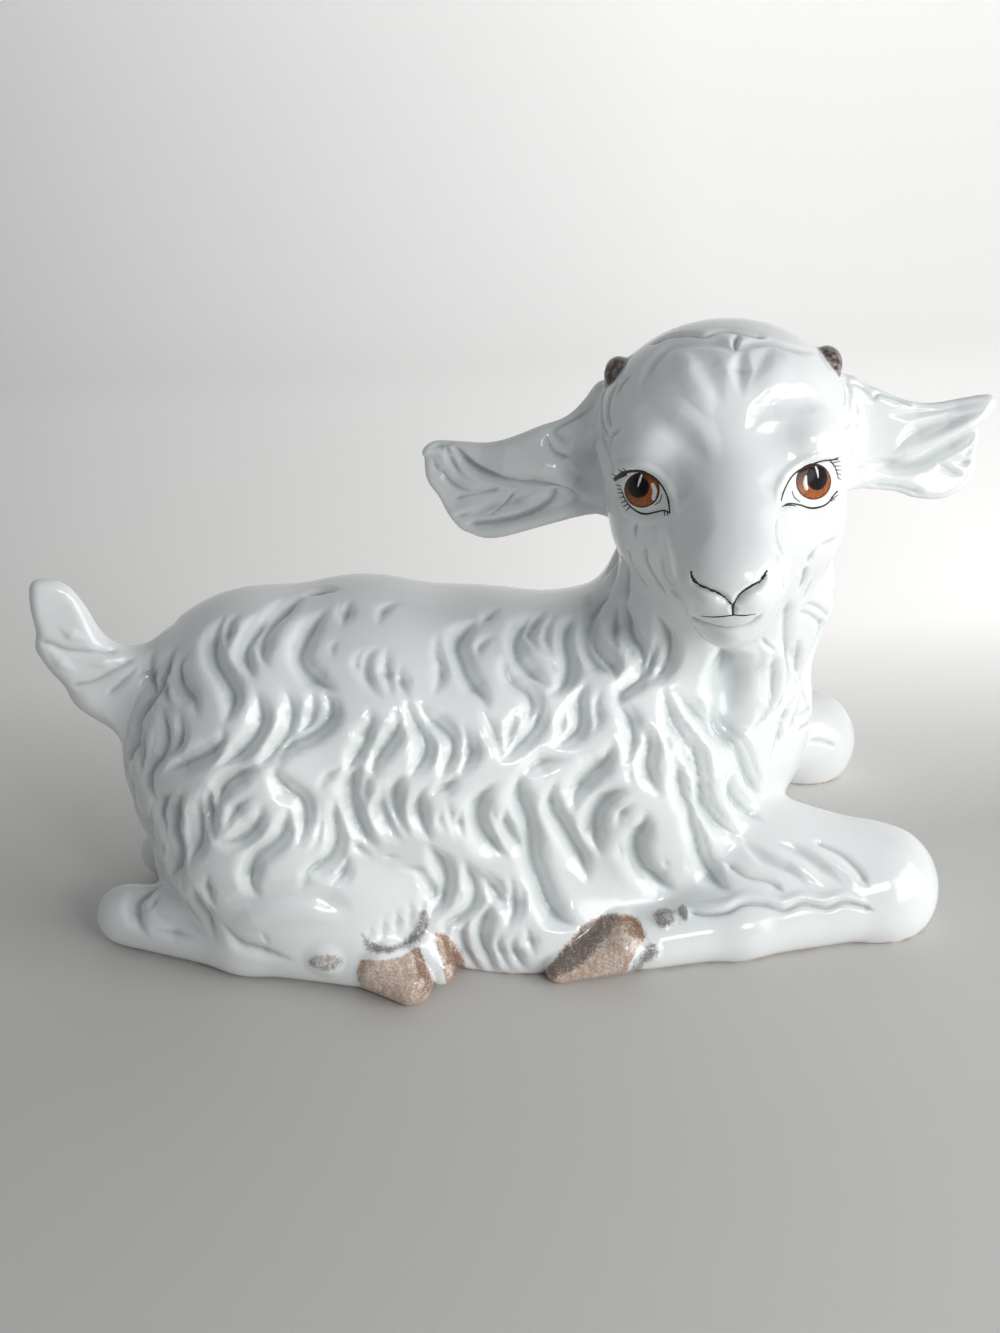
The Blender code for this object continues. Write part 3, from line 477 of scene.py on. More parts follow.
# The same, on the neck under the jaw
NECK_STROKES = (
    (2.4, 5.0, (714, 645, 723, 655, 726, 668, 722, 682)),
    (5.5, 15.0, (716, 644, 727, 666, 732, 692, 732, 720, 727, 750)),
    (-3.0, 11.0, (766, 644, 778, 670, 774, 700, 762, 730)),
    (-1.0, 5.0, (760, 640, 772, 664, 768, 694, 756, 722)),
    (1.6, 3.5, (798, 640, 802, 668, 796, 696, 784, 722)),
    (1.4, 3.0, (786, 645, 790, 668, 786, 690)),
    (1.6, 3.0, (800, 612, 812, 616, 822, 624, 828, 634)),
    (1.6, 3.0, (806, 604, 820, 608, 831, 618)),
    (1.4, 2.6, (760, 632, 764, 642, 774, 650)),
)
# The same, on the right foreleg, the left knee and the right thigh
LEG_STROKES = (
    (-1.3, 3.6, (686, 902, 704, 906, 722, 905, 742, 897, 761, 897, 780, 902, 800, 897, 822, 900, 842, 896, 868, 903)),
    (2.0, 3.0, (686, 910, 706, 914, 726, 912, 744, 904, 764, 905, 784, 910, 802, 904, 826, 908, 846, 903, 874, 911)),
    (1.4, 4.5, (742, 840, 762, 858, 786, 868, 806, 884)),
    (1.4, 4.5, (772, 842, 800, 852, 822, 868, 842, 884)),
    (1.6, 4.0, (812, 840, 838, 852, 856, 868, 868, 886)),
    (1.6, 4.0, (724, 862, 744, 876, 768, 882, 784, 892)),
    (-0.9, 4.5, (756, 842, 780, 858, 802, 868, 822, 884)),
    (-0.9, 4.5, (794, 842, 822, 856, 842, 868, 856, 884)),
    (1.5, 3.6, (800, 716, 812, 709, 826, 709, 836, 716)),
    (1.5, 3.6, (797, 732, 810, 724, 824, 724, 836, 731)),
    (1.3, 3.2, (800, 748, 812, 741, 826, 742, 836, 748)),
    (-1.0, 4.0, (800, 724, 812, 717, 826, 717, 837, 724)),
    (1.2, 5.0, (150, 905, 164, 918, 188, 926, 206, 938)),
    (1.4, 8.0, (226, 905, 260, 896, 300, 892, 330, 900, 352, 912)),
    (-1.0, 8.0, (232, 926, 270, 914, 310, 912, 340, 920)),
)
TAIL_STROKES = (
    (1.6, 4.0, (38, 641, 52, 645, 66, 650, 90, 652, 120, 650)),
    (1.6, 4.0, (70, 686, 90, 683, 105, 676, 120, 667, 135, 657)),
    (1.4, 3.5, (106, 697, 118, 686, 128, 676, 138, 664)),
    (-1.2, 4.5, (60, 627, 72, 634, 85, 640)),
    (-1.0, 4.5, (50, 650, 62, 662, 76, 672)),
    (-1.0, 4.0, (84, 664, 104, 662, 124, 656)),
)
# The same, on the rolled flaps of the ears and their hollows
EAR_STROKES = (
    (3.2, 5.0, (452, 441, 458, 452, 468, 462, 480, 470, 500, 477.5, 520, 482.5, 540, 486, 558, 489)),
    (1.8, 3.0, (446, 442, 449, 456, 460, 474)),
    (1.6, 3.0, (458, 447, 466, 458, 478, 468)),
    (1.8, 3.5, (450, 500, 470, 495, 488, 491, 502, 488)),
    (-1.2, 4.5, (446, 474, 462, 484, 482, 486, 500, 484)),
    (-1.2, 4.5, (448, 512, 466, 508, 484, 502, 496, 494)),
    (-1.4, 4.2, (506, 512, 520, 506, 534, 496, 544, 490)),
    (2.4, 5.0, (428, 452, 440, 446, 454, 442)),
    (-2.0, 5.0, (430, 462, 444, 456, 456, 454)),
    (-1.4, 4.0, (452, 452, 470, 474, 494, 484, 512, 487)),
    (1.6, 3.5, (438, 466, 450, 482, 470, 491, 490, 488)),
    (1.4, 3.0, (446, 520, 464, 514, 484, 508, 500, 500)),
    (-1.6, 4.0, (470, 520, 496, 514, 518, 508, 540, 499)),
    (2.2, 7.0, (600, 430, 588, 446, 582, 462, 578, 480)),
    (2.8, 3.5, (516, 490, 507, 500, 496, 510, 484, 517)),
    (1.6, 2.6, (508, 490, 500, 500, 489, 511)),
    (3.2, 4.0, (556, 490, 549, 500, 536, 509, 518, 516, 500, 520, 482, 522, 467, 524)),
    (1.2, 3.0, (432, 458, 438, 470, 448, 478)),
    (-1.6, 4.5, (476, 532, 500, 530, 530, 523, 560, 513, 576, 505)),
    (2.2, 4.0, (547, 434, 549, 444, 557, 453, 572, 458)),
    (-1.5, 6.0, (562, 440, 578, 446)),
    (2.4, 8.0, (562, 466, 575, 480, 590, 495)),
    (-2.6, 10.0, (480, 457, 510, 463, 540, 468, 570, 472)),
    (2.0, 8.0, (450, 500, 480, 505, 510, 505, 540, 497)),
    (2.4, 6.0, (893, 413, 915, 412, 940, 409, 965, 405, 985, 402)),
    (2.0, 6.0, (897, 446, 910, 434, 930, 424, 955, 416, 975, 410)),
    (-1.8, 4.0, (880, 458, 905, 452, 930, 443, 955, 431, 980, 417, 990, 406)),
    (2.6, 5.0, (868, 464, 890, 465, 910, 465, 925, 460, 940, 451, 960, 441, 976, 431)),
    (1.2, 2.5, (940, 455, 955, 450, 968, 443, 977, 434)),
    (1.4, 2.8, (978, 437, 973, 448, 962, 456)),
    (1.2, 2.8, (976, 456, 966, 462, 955, 462)),
    (1.0, 3.0, (935, 462, 948, 470, 962, 475)),
    (1.2, 3.0, (870, 484, 900, 487, 925, 494)),
    (1.2, 2.4, (850, 388, 853, 383, 862, 387, 873, 398, 878, 393, 890, 396, 905, 402, 918, 410)),
    (1.2, 2.6, (853, 398, 858, 416, 856, 436, 858, 456)),
)
# Soft swellings: centre in pixels, radius and height in millimetres
SWELLINGS = (
    (650, 446, 12.0, 1.0),
    (818, 432, 14.0, 1.2),
    (642, 492, 9.0, 1.2),
    (813, 484, 9.0, 1.2),
    (706, 600, 9.0, 1.2),
    (756, 598, 9.0, 1.2),
    (688, 382, 24.0, 1.4),
    (798, 382, 24.0, 1.4),
    (726, 690, 16.0, -2.0),
    (530, 458, 26.0, 3.0),
    (592, 470, 18.0, -3.5),
    (450, 492, 12.0, -1.2),
    (730, 636, 9.0, 1.0),
)

# Painted lines: half width at the start, the middle and the end in pixels, then the line in pixels
FACE_LOW = 150.0                # the painted face lies above this height
LINE_SPREAD = 1.25              # painted lines are this much wider than the brush
LINE_ACROSS = (-1.0, -0.6, 0.0, 0.6, 1.0)   # section of a line: shares of its half width, and of its height
LINE_SECTION = (0.0, 0.6, 1.0, 0.6, 0.0)
SUNK = 0.12                     # how far the edges of a line lie under the glaze's surface
DISC_SUNK = 0.15
NOSE_LINES = (
    (1.6, 1.9, 1.4, (691, 571, 694, 580, 705, 587, 717, 592, 726, 598, 733, 606)),
    (1.6, 1.9, 1.4, (767, 570, 761, 580, 750, 587, 742, 592, 737, 598, 733, 606)),
    (1.5, 1.4, 1.2, (733, 604, 733, 615)),
)
MOUTH_LINES = (
    (0.3, 1.1, 0.8, (701, 616, 712, 617, 723, 616.5, 734, 615)),
    (0.8, 1.1, 0.3, (733, 615, 744, 615.5, 756, 614)),
)
RIGHT_EYE_LINES = (
    (2.4, 1.8, 0.9, (614, 480, 620, 475, 626, 472, 640, 471, 650, 475, 658, 481, 664, 489, 668, 499, 670, 514)),
    (1.6, 1.6, 1.2, (614, 479, 620, 477, 627, 474)),
    (0.5, 1.0, 0.7, (622, 491, 625, 499, 630, 506, 638, 512, 646, 514, 656, 512, 664, 510.5, 670, 513)),
    (0.6, 0.6, 0.4, (664, 510, 665, 516)),
    (0.6, 0.6, 0.4, (667, 511, 668, 516)),
    (0.3, 0.5, 0.3, (662, 494, 660, 501, 655, 505)),
)
RIGHT_LASH = (0.3, 0.5, 0.6)
RIGHT_LASHES = (
    (612, 474, 619, 477), (613, 478, 619, 479), (618, 469, 624, 473), (623, 468, 627, 472), (616, 485, 621, 486),
    (617, 489, 622, 489.5), (617, 493, 623, 493), (619, 498, 624, 496.5), (621, 503, 626, 500.5),
    (623, 507, 628, 504), (626, 511, 630, 507),
)
LEFT_EYE_LINES = (
    (0.6, 1.3, 1.1, (781, 501, 784, 491, 790, 479, 798, 471, 810, 465, 822, 461, 831, 460, 838, 459)),
    (0.5, 1.1, 0.6, (782, 507, 789, 503.5, 800, 505, 810, 508, 820, 507, 828, 503, 833, 496, 837, 491)),
    (0.4, 0.8, 0.4, (784, 506, 790, 505, 796, 506)),
    (0.3, 0.6, 0.3, (792, 491, 794, 497, 800, 502)),
    (0.7, 0.6, 0.4, (830, 461, 835, 467, 838, 477)),
)
LEFT_LASH = (0.6, 0.5, 0.3)
LEFT_LASHES = (
    (830, 461, 839, 457), (832, 463, 841, 461), (833, 466, 842, 466), (835, 470, 842, 470), (836, 473, 842, 475),
    (837, 477, 841, 480), (831, 498, 838, 491), (830, 500, 838, 495), (828, 502, 835, 499),
)
# Painted discs: centre and half sizes in pixels
RIGHT_IRIS = (642, 490, 18.5, 18.5)
RIGHT_PUPIL = (638.5, 487, 11.5, 11.5)
LEFT_IRIS = (813.5, 481.5, 18.5, 19.0)
LEFT_PUPIL = (817, 477.5, 11.0, 13.5)
# Painted highlights in the eyes: a white glint stroke at the top of each pupil, then a pale painted reflection of a
# window on the iris
RIGHT_GLINTS = ((1.0, 1.8, 0.6, (642, 474, 640, 480, 638, 487)), (2.0, 3.6, 2.6, (652, 483, 655, 491, 653, 500)))
LEFT_GLINTS = ((1.0, 1.7, 0.6, (815, 466, 817, 471, 818, 478)), (1.4, 2.8, 2.2, (806, 475, 805, 483, 807, 490)))

# Stains of the hooves and above them, as outlines in pixels
HOOF_WASHES = (
    ((362, 960), (382, 960), (403, 955), (418, 946), (424, 960), (431, 977), (439, 989), (426, 1008), (395, 1006),
     (366, 996), (356, 974)),
    ((434, 933), (441, 933), (452, 942), (459, 957), (466, 968), (470, 982), (464, 998), (450, 998), (444, 974),
     (438, 950)),
    ((541, 974), (557, 956), (570, 939), (587, 922), (607, 914), (628, 914), (641, 922), (645, 936), (640, 946),
     (630, 964), (622, 986), (580, 990), (545, 984)),
)
BROWN_PATCHES = (((610, 916), (628, 914), (641, 922), (645, 936), (634, 941), (622, 929)),
                 ((410, 955), (421, 950), (436, 986), (424, 994)),
                 ((438, 934), (450, 941), (466, 968), (462, 984), (452, 984), (446, 958)))
GREY_PATCHES = (
    ((541, 974), (557, 956), (570, 939), (587, 922), (607, 914), (618, 915), (612, 932), (598, 950), (582, 966),
     (562, 978)),
    ((362, 934), (376, 942), (392, 944), (406, 938), (416, 922), (424, 908), (431, 920), (427, 933), (416, 943),
     (400, 951), (382, 955), (366, 950)),
    ((633, 962), (648, 945), (658, 944), (656, 956), (644, 966), (636, 976), (626, 978)),
)
WASH_EDGE = 1.6                 # half width in pixels of an outline's soft edge
BRUSHED_EDGE = 4.0
FEET_TOP = 40.0                 # the stains lie below this height and outside of this
FEET_INSIDE = -52.0
# Stains of the dewclaws: centre in pixels and half sizes in millimetres
BROWN_SPOTS = ((325, 961, 8.6, 4.6),)
GREY_SPOTS = ((664, 918, 5.6, 5.0), (683, 913, 2.6, 3.6))
SPOT_DEPTH = 12.0               # half size along the sight line
# Dewclaws: centre in pixels, radius and height in millimetres
DEWCLAWS = ((325, 961, 11.0, 2.2), (664, 918, 7.5, 2.2), (683, 913, 5.0, 1.6), (651, 952, 7.0, 1.8))

# Colours of glaze and stains
GLAZE_WHITE = (0.84, 0.86, 0.855)
# grey of glaze pooled in valleys, which also serves as painted shade in valleys and creases
POOLED_GLAZE_AND_SHADE_GREY = (0.40, 0.46, 0.455)
WASH_PALE = (0.57, 0.43, 0.34)
WASH_DARK = (0.34, 0.21, 0.145)
WASH_BROWN = (0.22, 0.115, 0.07)
STAIN_GREY = (0.14, 0.12, 0.11)
STAIN_DUN = (0.24, 0.17, 0.13)
HORN_DARK = (0.07, 0.055, 0.05)
HORN_PALE = (0.26, 0.21, 0.18)
BARE_CLAY = (0.50, 0.33, 0.23)
STREAK = (1.0, 0.3, 0.3)        # stretch of the brushed streaks in the stains

# Studio: lengths of the paper in millimetres, then place in metres, size and power of each soft box
FLOOR_HALF_WIDTH = 8000.0
FLOOR_FRONT = -1500.0
FLOOR_DEPTH = 900.0
FLOOR_BEND = 400.0
BEND_PIECES = 16
WALL_TOP = 2200.0
PAPER_COLOURS = ((0.84, 0.835, 0.825), (0.88, 0.875, 0.865))
PAPER_FLOOR = (0.62, 0.61, 0.59)
# colour of the paper's glow, which is painted light on the wall
PAPER_GLOW = (1.0, 0.99, 0.97, 1.0)
ROOM_LIGHT = (0.93, 0.96, 1.0, 1.0)
ROOM_STRENGTH = 0.275
SOFT_BOXES = (("window", (1.15, -0.9, 0.38), 1.1, 18.8), ("lamp", (0.42, -1.2, 0.7), 0.25, 3.2))


def unit(vector):
    """The vector at length one."""
    return np.array(vector, float) / np.linalg.norm(vector)


def camera_axes():
    """The camera's right, up and backward directions."""
    tilt = math.radians(ELEVATION)
    turn = math.radians(AZIMUTH)
    right = np.array((math.cos(turn), -math.sin(turn), 0.0))
    level = np.array((math.sin(turn), math.cos(turn), 0.0))
    back = np.array((0.0, 0.0, 1.0)) * math.sin(tilt) - level * math.cos(tilt)
    return right, np.cross(back, right), back


RIGHT, UP, BACK = camera_axes()
EYE = np.array(AIM) + BACK * AIM_DISTANCE   # where the camera stands


def sight(x, y):
    """Direction from the camera through a pixel of the photograph."""
    across = (x - IMAGE_SIZE[0] / 2) / FOCAL_PIXELS
    down = (y - IMAGE_SIZE[1] / 2) / FOCAL_PIXELS
    return unit(RIGHT * across - UP * down - BACK)


def head_axes():
    """Columns are the head's u, v and w in the statue's frame."""
    turn = math.radians(HEAD_TURN)
    roll = math.radians(HEAD_ROLL)
    forward = np.array((-math.sin(turn), -math.cos(turn), 0.0))
    level = np.array((math.cos(turn), -math.sin(turn), 0.0))
    up = np.array((0.0, 0.0, 1.0))
    return np.stack([level * math.cos(roll) + up * math.sin(roll), forward,
                     up * math.cos(roll) - level * math.sin(roll)], 1)


HEAD = head_axes()


def from_head(point):
    """A point of the head's own frame in the statue's frame."""
    return np.array(HEAD_CENTRE) + HEAD @ np.array(point, float)


def union(a, b, blend):
    """The nearer of two distances, rounded where they meet."""
    if blend <= 0:
        return np.minimum(a, b)
    near = np.maximum(blend - np.abs(a - b), 0) / blend
    return np.minimum(a, b) - near * near * (blend / 4)


def ball(centre, radii, axes=np.eye(3)):
    """An ellipsoid: its box and its distance function."""
    centre = np.array(centre, float)
    radii = np.array(radii, float)
    half = np.sqrt(((axes * radii) ** 2).sum(1))

    def distance(x, y, z):
        x, y, z = x - centre[0], y - centre[1], z - centre[2]
        local = [axes[0, n] * x + axes[1, n] * y + axes[2, n] * z for n in range(3)]
        near = np.sqrt(sum((q / r) ** 2 for q, r in zip(local, radii)))
        steep = np.sqrt(sum((q / r ** 2) ** 2 for q, r in zip(local, radii))) + 1e-9
        return near * (near - 1) / steep

    return centre - half, centre + half, distance


def bone(start, start_radius, end, end_radius):
    """A round bar with domed ends: its box and its distance function."""
    start = np.array(start, float)
    end = np.array(end, float)
    along = end - start
    length2 = max(float(along @ along), 1e-9)
    most = max(start_radius, end_radius)

    def distance(x, y, z):
        x, y, z = x - start[0], y - start[1], z - start[2]
        t = np.clip((x * along[0] + y * along[1] + z * along[2]) / length2, 0, 1)
        away = np.sqrt((x - t * along[0]) ** 2 + (y - t * along[1]) ** 2 + (z - t * along[2]) ** 2)
        return away - start_radius - t * (end_radius - start_radius)

    return np.minimum(start, end) - most, np.maximum(start, end) + most, distance


def outline_distance(a, b, outline):
    """Distance in a plane to a closed outline, negative inside."""
    nearest = np.full(np.broadcast(a, b).shape, FAR)
    inside = np.zeros(nearest.shape, bool)
    for (a0, b0), (a1, b1) in zip(outline, np.roll(outline, -1, 0)):
        da, db = a1 - a0, b1 - b0
        t = np.clip(((a - a0) * da + (b - b0) * db) / (da * da + db * db + 1e-9), 0, 1)
        nearest = np.minimum(nearest, (a - a0 - t * da) ** 2 + (b - b0 - t * db) ** 2)
        if db:
            crosses = ((b0 > b) != (b1 > b)) & (a < a0 + (b - b0) * da / db)
            inside ^= crosses
    return np.where(inside, -1, 1) * np.sqrt(nearest)


def curve_piece(a, b, c, d, t):
    """The part from b to c of a smooth line through four points."""
    return 0.5 * (2 * b + (c - a) * t + (2 * a - 5 * b + 4 * c - d) * t ** 2 + (3 * b - 3 * c + d - a) * t ** 3)


def closed_curve(points, pieces=4):
    """A smooth closed line through points."""
    p = np.array(points, float)
    around = [np.roll(p, n, 0) for n in (1, 0, -1, -2)]
    return np.stack([curve_piece(*around, n / pieces) for n in range(pieces)], 1).reshape(-1, p.shape[1])


def open_curve(points, spacing):
    """A smooth line through x and y in turn, with a point about every spacing."""
    p = np.array(points, float).reshape(-1, 2)
    p = np.vstack([2 * p[0] - p[1], p, 2 * p[-1] - p[-2]])
    rows = []
    for a, b, c, d in zip(p, p[1:], p[2:], p[3:]):
        count = max(1, math.ceil(np.linalg.norm(c - b) / spacing))
        rows.append(curve_piece(a, b, c, d, np.arange(count)[:, None] / count))
    return np.vstack([*rows, p[-2:-1]])


def sheet(origin, along, across, pixels, half_thickness, bend):
    """A leaf of clay with a round rim, whose outline is seen through the pixels on its own plane.

    half_thickness and bend are functions of the plane's two coordinates.
    """
    normal = np.cross(along, across)
    if normal @ BACK < 0:
        normal = -normal
    outline = []
    for x, y in closed_curve(pixels):
        ray = sight(x, y)
        hit = EYE + ray * ((origin - EYE) @ normal) / (ray @ normal) - origin
        outline.append((hit @ along, hit @ across))
    outline = np.array(outline)
    corners = np.array([origin + a * along + b * across for a, b in outline])

    def distance(x, y, z):
        x, y, z = x - origin[0], y - origin[1], z - origin[2]
        a = x * along[0] + y * along[1] + z * along[2]
        b = x * across[0] + y * across[1] + z * across[2]
        c = x * normal[0] + y * normal[1] + z * normal[2]
        half = half_thickness(a, b)
        flat = outline_distance(a, b, outline) + half
        thick = np.abs(c - bend(a, b))
        return np.sqrt(np.maximum(flat, 0) ** 2 + thick ** 2) - half

    return corners.min(0) - BAND, corners.max(0) + BAND, distance


class Clay:
    """A block of cells that hold the distance to the clay."""

    def __init__(self, low, high):
        self.start = np.floor(np.array(low) / STEP).astype(int)
        self.shape = np.ceil(np.array(high) / STEP).astype(int) - self.start + 1
        self.distance = np.full(self.shape, BAND, np.float32)

    def cells(self, low, high):
        """The cells between two corners and their coordinates."""
        first = np.clip(np.floor(low / STEP).astype(int) - self.start, 0, self.shape)
        last = np.clip(np.ceil(high / STEP).astype(int) - self.start + 1, 0, self.shape)
        where = tuple(slice(a, b) for a, b in zip(first, last))
        axes = [(self.start[n] + np.arange(first[n], last[n])) * STEP for n in range(3)]
        return where, np.meshgrid(*axes, indexing="ij", sparse=True)

    def add(self, lump, blend=0.0):
        """Press a lump on."""
        low, high, distance = lump
        where, point = self.cells(low - BAND, high + BAND)
        self.distance[where] = union(self.distance[where], np.minimum(distance(*point), BAND), blend)

    def cut(self, lump):
        """Take a lump's shape away."""
        low, high, distance = lump
        where, point = self.cells(low - BAND, high + BAND)
        self.distance[where] = np.maximum(self.distance[where], -distance(*point))

    def merge(self, other, blend):
        """Join another block's clay."""
        first = other.start - self.start
        where = tuple(slice(a, a + n) for a, n in zip(first, other.shape))
        self.distance[where] = union(self.distance[where], other.distance, blend)

    def soften(self, width):
        """Smooth the clay with three passes of a box this many cells wide."""
        pad = ((width // 2 + 1, width // 2), (0, 0), (0, 0))
        for axis in 3 * (0, 1, 2):
            block = np.pad(np.moveaxis(self.distance, axis, 0), pad, mode="edge")
            total = np.cumsum(block, 0, dtype=np.float64)
            self.distance = np.moveaxis(((total[width:] - total[:-width]) / width).astype(np.float32), 0, axis)

    def sample(self, points):
        """Distance and its slope at points."""
        place = np.clip(points / STEP - self.start, 0, self.shape - 1.001)
        cell = np.floor(place).astype(int)
        ahead = place - cell
        value = np.zeros(len(points))
        slope = np.zeros((len(points), 3))
        for corner in np.ndindex(2, 2, 2):
            here = self.distance[tuple((cell + corner).T)].astype(float)
            x, y, z = np.where(corner, ahead, 1 - ahead).T
            value += here * x * y * z
            for axis, across in enumerate((y * z, x * z, x * y)):
                slope[:, axis] += (1 if corner[axis] else -1) * here * across
        return value, slope / STEP

    def reach(self, points):
        """Distance at points, far away outside the block."""
        low = self.start * STEP
        high = (self.start + self.shape - 1) * STEP
        near = ((points > low) & (points < high)).all(1)
        value = np.full(len(points), OUTSIDE)
        value[near] = self.sample(points[near])[0]
        return value

    def settle(self, points, rounds=3):
        """Move points onto the clay's surface."""
        for _ in range(rounds):
            value, slope = self.sample(points)
            steep = np.maximum((slope * slope).sum(1), LEAST_STEEPNESS)
            points = points - (value / steep)[:, None] * slope * SETTLE_SHARE
        return points

    def skin(self):
        """Points and four-sided faces of the surface: a point in each cell that it cuts, a face round each edge."""
        cells = np.array(self.distance.shape) - 1
        corners, places, faces = [], [], []
        for axis in range(3):
            step = np.eye(3, dtype=int)[axis]
            first = np.stack(np.nonzero(np.diff(self.distance < 0, axis=axis)), 1)
            others = [(axis + 1) % 3, (axis + 2) % 3]
            first = first[((first[:, others] > 0) & (first[:, others] < cells[others])).all(1)]
            near, far = (self.distance[tuple(end.T)].astype(float) for end in (first, first + step))
            place = first + step * (near / (near - far))[:, None]
            face = []
            for back in ((0, 0), (1, 0), (1, 1), (0, 1)):
                cell = first.copy()
                cell[:, others] -= back
                face.append(np.ravel_multi_index(cell.T, cells))
                places.append(place)
            corners += face
            face = np.stack(face, 1)
            outward = near >= 0
            face[outward] = face[outward][:, ::-1]
            faces.append(face)
        used, order = np.unique(np.concatenate(corners), return_inverse=True)
        place = np.concatenate(places)
        count = np.bincount(order)
        points = np.stack([np.bincount(order, place[:, n]) / count for n in range(3)], 1)
        return (points + self.start) * STEP, np.searchsorted(used, np.concatenate(faces))


def mirrored(point, side):
    """A point of the +Y side moved to side +1 or -1."""
    return np.array((point[0], point[1] * side, point[2]), float)


def trunk_clay():
    """Rump, barrel, chest and neck."""
    clay = Clay(*TRUNK_BLOCK)
    pairs = [(mirrored(centre, side), radii, 0) for centre, radii in TRUNK_PAIRS for side in (-1, 1)]
    for centre, radii, pitch in [*TRUNK_BALLS, *pairs]:
        lean = math.radians(pitch)
        axes = np.array(((math.cos(lean), 0, math.sin(lean)), (0, 1, 0), (-math.sin(lean), 0, math.cos(lean))))
        clay.add(ball(centre, radii, axes))
    clay.add(bone(*NECK_LOW, from_head(NAPE[0]), NAPE[1]))
    clay.soften(TRUNK_SOFTENING)
    return clay


def head_clay():
    """Skull, brows, muzzle and jaw."""
    clay = Clay(*HEAD_BLOCK)
    pairs = [((side * u, v, w), radii) for (u, v, w), radii in HEAD_PAIRS for side in (-1, 1)]
    for centre, radii in [*HEAD_BALLS, *pairs]:
        clay.add(ball(from_head(centre), radii, HEAD))
    for start, start_radius, end, end_radius in (BRIDGE, JAW):
        clay.add(bone(from_head(start), start_radius, from_head(end), end_radius))
    clay.soften(HEAD_SOFTENING)
    return clay


def ear_clay(side, flap, lobe):
    """Rolled flap and lobe of one ear."""
    sweep = math.radians(EAR_SWEEP)
    lean = math.radians(EAR_LEAN)
    along = HEAD @ np.array((side * math.cos(sweep), -math.sin(sweep), 0.0))
    across = HEAD @ np.array((0.0, -math.sin(lean), math.cos(lean)))
    along = unit(along - across * (along @ across))
    origin = from_head((side * EAR_ROOT[0], *EAR_ROOT[1:]))

    def tapered(root, loss, least, most):
        return lambda a, b: np.clip(root - loss * a, least, most)

    def cupped(a, b):
        return LOBE_RISE + LOBE_CUP * (b - LOBE_MIDDLE) ** 2

    front = sheet(origin, along, across, flap, tapered(*FLAP_HALF), lambda a, b: FLAP_RISE)
    behind = sheet(origin, along, across, lobe, tapered(*LOBE_HALF), cupped)
    clay = Clay(np.minimum(front[0], behind[0]), np.maximum(front[1], behind[1]))
    clay.add(front)
    clay.add(behind, LOBE_BLEND)
    return clay


def tail_clay():
    """The raised tail."""
    back = np.array((-1.0, 0.0, 0.0))
    up = np.array((0.0, 0.0, 1.0))

    def half(a, b):
        start, end = TAIL_THINNING
        share = np.clip((b + a * 0.5 - start) / (end - start), 0, 1)
        return TAIL_ROOT_HALF_THICKNESS + share * (TAIL_TIP_HALF_THICKNESS - TAIL_ROOT_HALF_THICKNESS)

    leaf = sheet(np.array(TAIL_ORIGIN), back, up, TAIL_OUTLINE, half, lambda a, b: 0.0)
    clay = Clay(leaf[0], leaf[1])
    clay.add(leaf)
    return clay


def limb_clay(bones, pads, side, shift=0.0):
    """One folded leg, with its knee or hock shifted along the body."""
    clay = Clay(*LIMB_BLOCK)

    def placed(point):
        return mirrored(point, side) + (0.0 if HOCK_TO <= point[0] <= KNEE_FROM else shift, 0.0, 0.0)

    for start, start_radius, end, end_radius in bones:
        clay.add(bone(placed(start), start_radius, placed(end), end_radius), BONE_BLEND)
    for centre, radii in pads:
        clay.add(ball(placed(centre), radii), PAD_BLEND)
    clay.soften(LIMB_SOFTENING)
    return clay


def hoof_clay(toes, side):
    """Two toes."""
    clay = Clay(*HOOF_BLOCK)
    for start, start_radius, end, end_radius in toes:
        clay.add(bone(mirrored(start, side), start_radius, mirrored(end, side), end_radius), TOE_BLEND)
    return clay


def horn_clay(side):
    """One horn bud."""
    (u, v, w), radii = HORN_BUD
    centre = from_head((side * u, v, w))
    clay = Clay(centre - HORN_BLOCK_HALF, centre + HORN_BLOCK_HALF)
    clay.add(ball(centre, radii, HEAD))
    return clay


def model_clay():
    """Every piece's clay by the name of its CAD node, and how softly it joins the rest."""
    return {
        "trunk": (trunk_clay(), 0),
        "head": (head_clay(), 12),
        "right_ear": (ear_clay(-1, RIGHT_FLAP, RIGHT_LOBE), 8),
        "left_ear": (ear_clay(1, LEFT_FLAP, LEFT_LOBE), 8),
        "right_horn_bud": (horn_clay(-1), 2),
        "left_horn_bud": (horn_clay(1), 2),
        "tail": (tail_clay(), 10),
        "right_foreleg": (limb_clay(FORELEG_BONES, FORELEG_PADS, -1), 8),
        "left_foreleg": (limb_clay(FORELEG_BONES, FORELEG_PADS, 1, LEFT_KNEE_SHIFT), 8),
        "right_hind_leg": (limb_clay(HIND_BONES, HIND_PADS, -1), 7),
        "left_hind_leg": (limb_clay(HIND_BONES, HIND_PADS, 1, LEFT_HOCK_SHIFT), 7),
        "right_fore_hoof": (hoof_clay(FORE_TOES, -1), 2),
        "left_fore_hoof": (hoof_clay(FORE_TOES, 1), 2),
        "right_hind_hoof": (hoof_clay(HIND_TOES, -1), 2),
        "left_hind_hoof": (hoof_clay(HIND_TOES, 1), 2),
    }


def joined_clay(parts):
    """One block with every piece pressed together, standing on a flat underside with a vent."""
    whole = Clay(*WHOLE_BLOCK)
    for part, blend in parts.values():
        whole.merge(part, blend)
    height = (whole.start[2] + np.arange(whole.shape[2])) * STEP
    whole.distance = np.maximum(whole.distance, -height)
    whole.cut(bone((*VENT_CENTRE, VENT_FROM), VENT_RADIUS, (*VENT_CENTRE, VENT_DEPTH), VENT_RADIUS))
    return whole


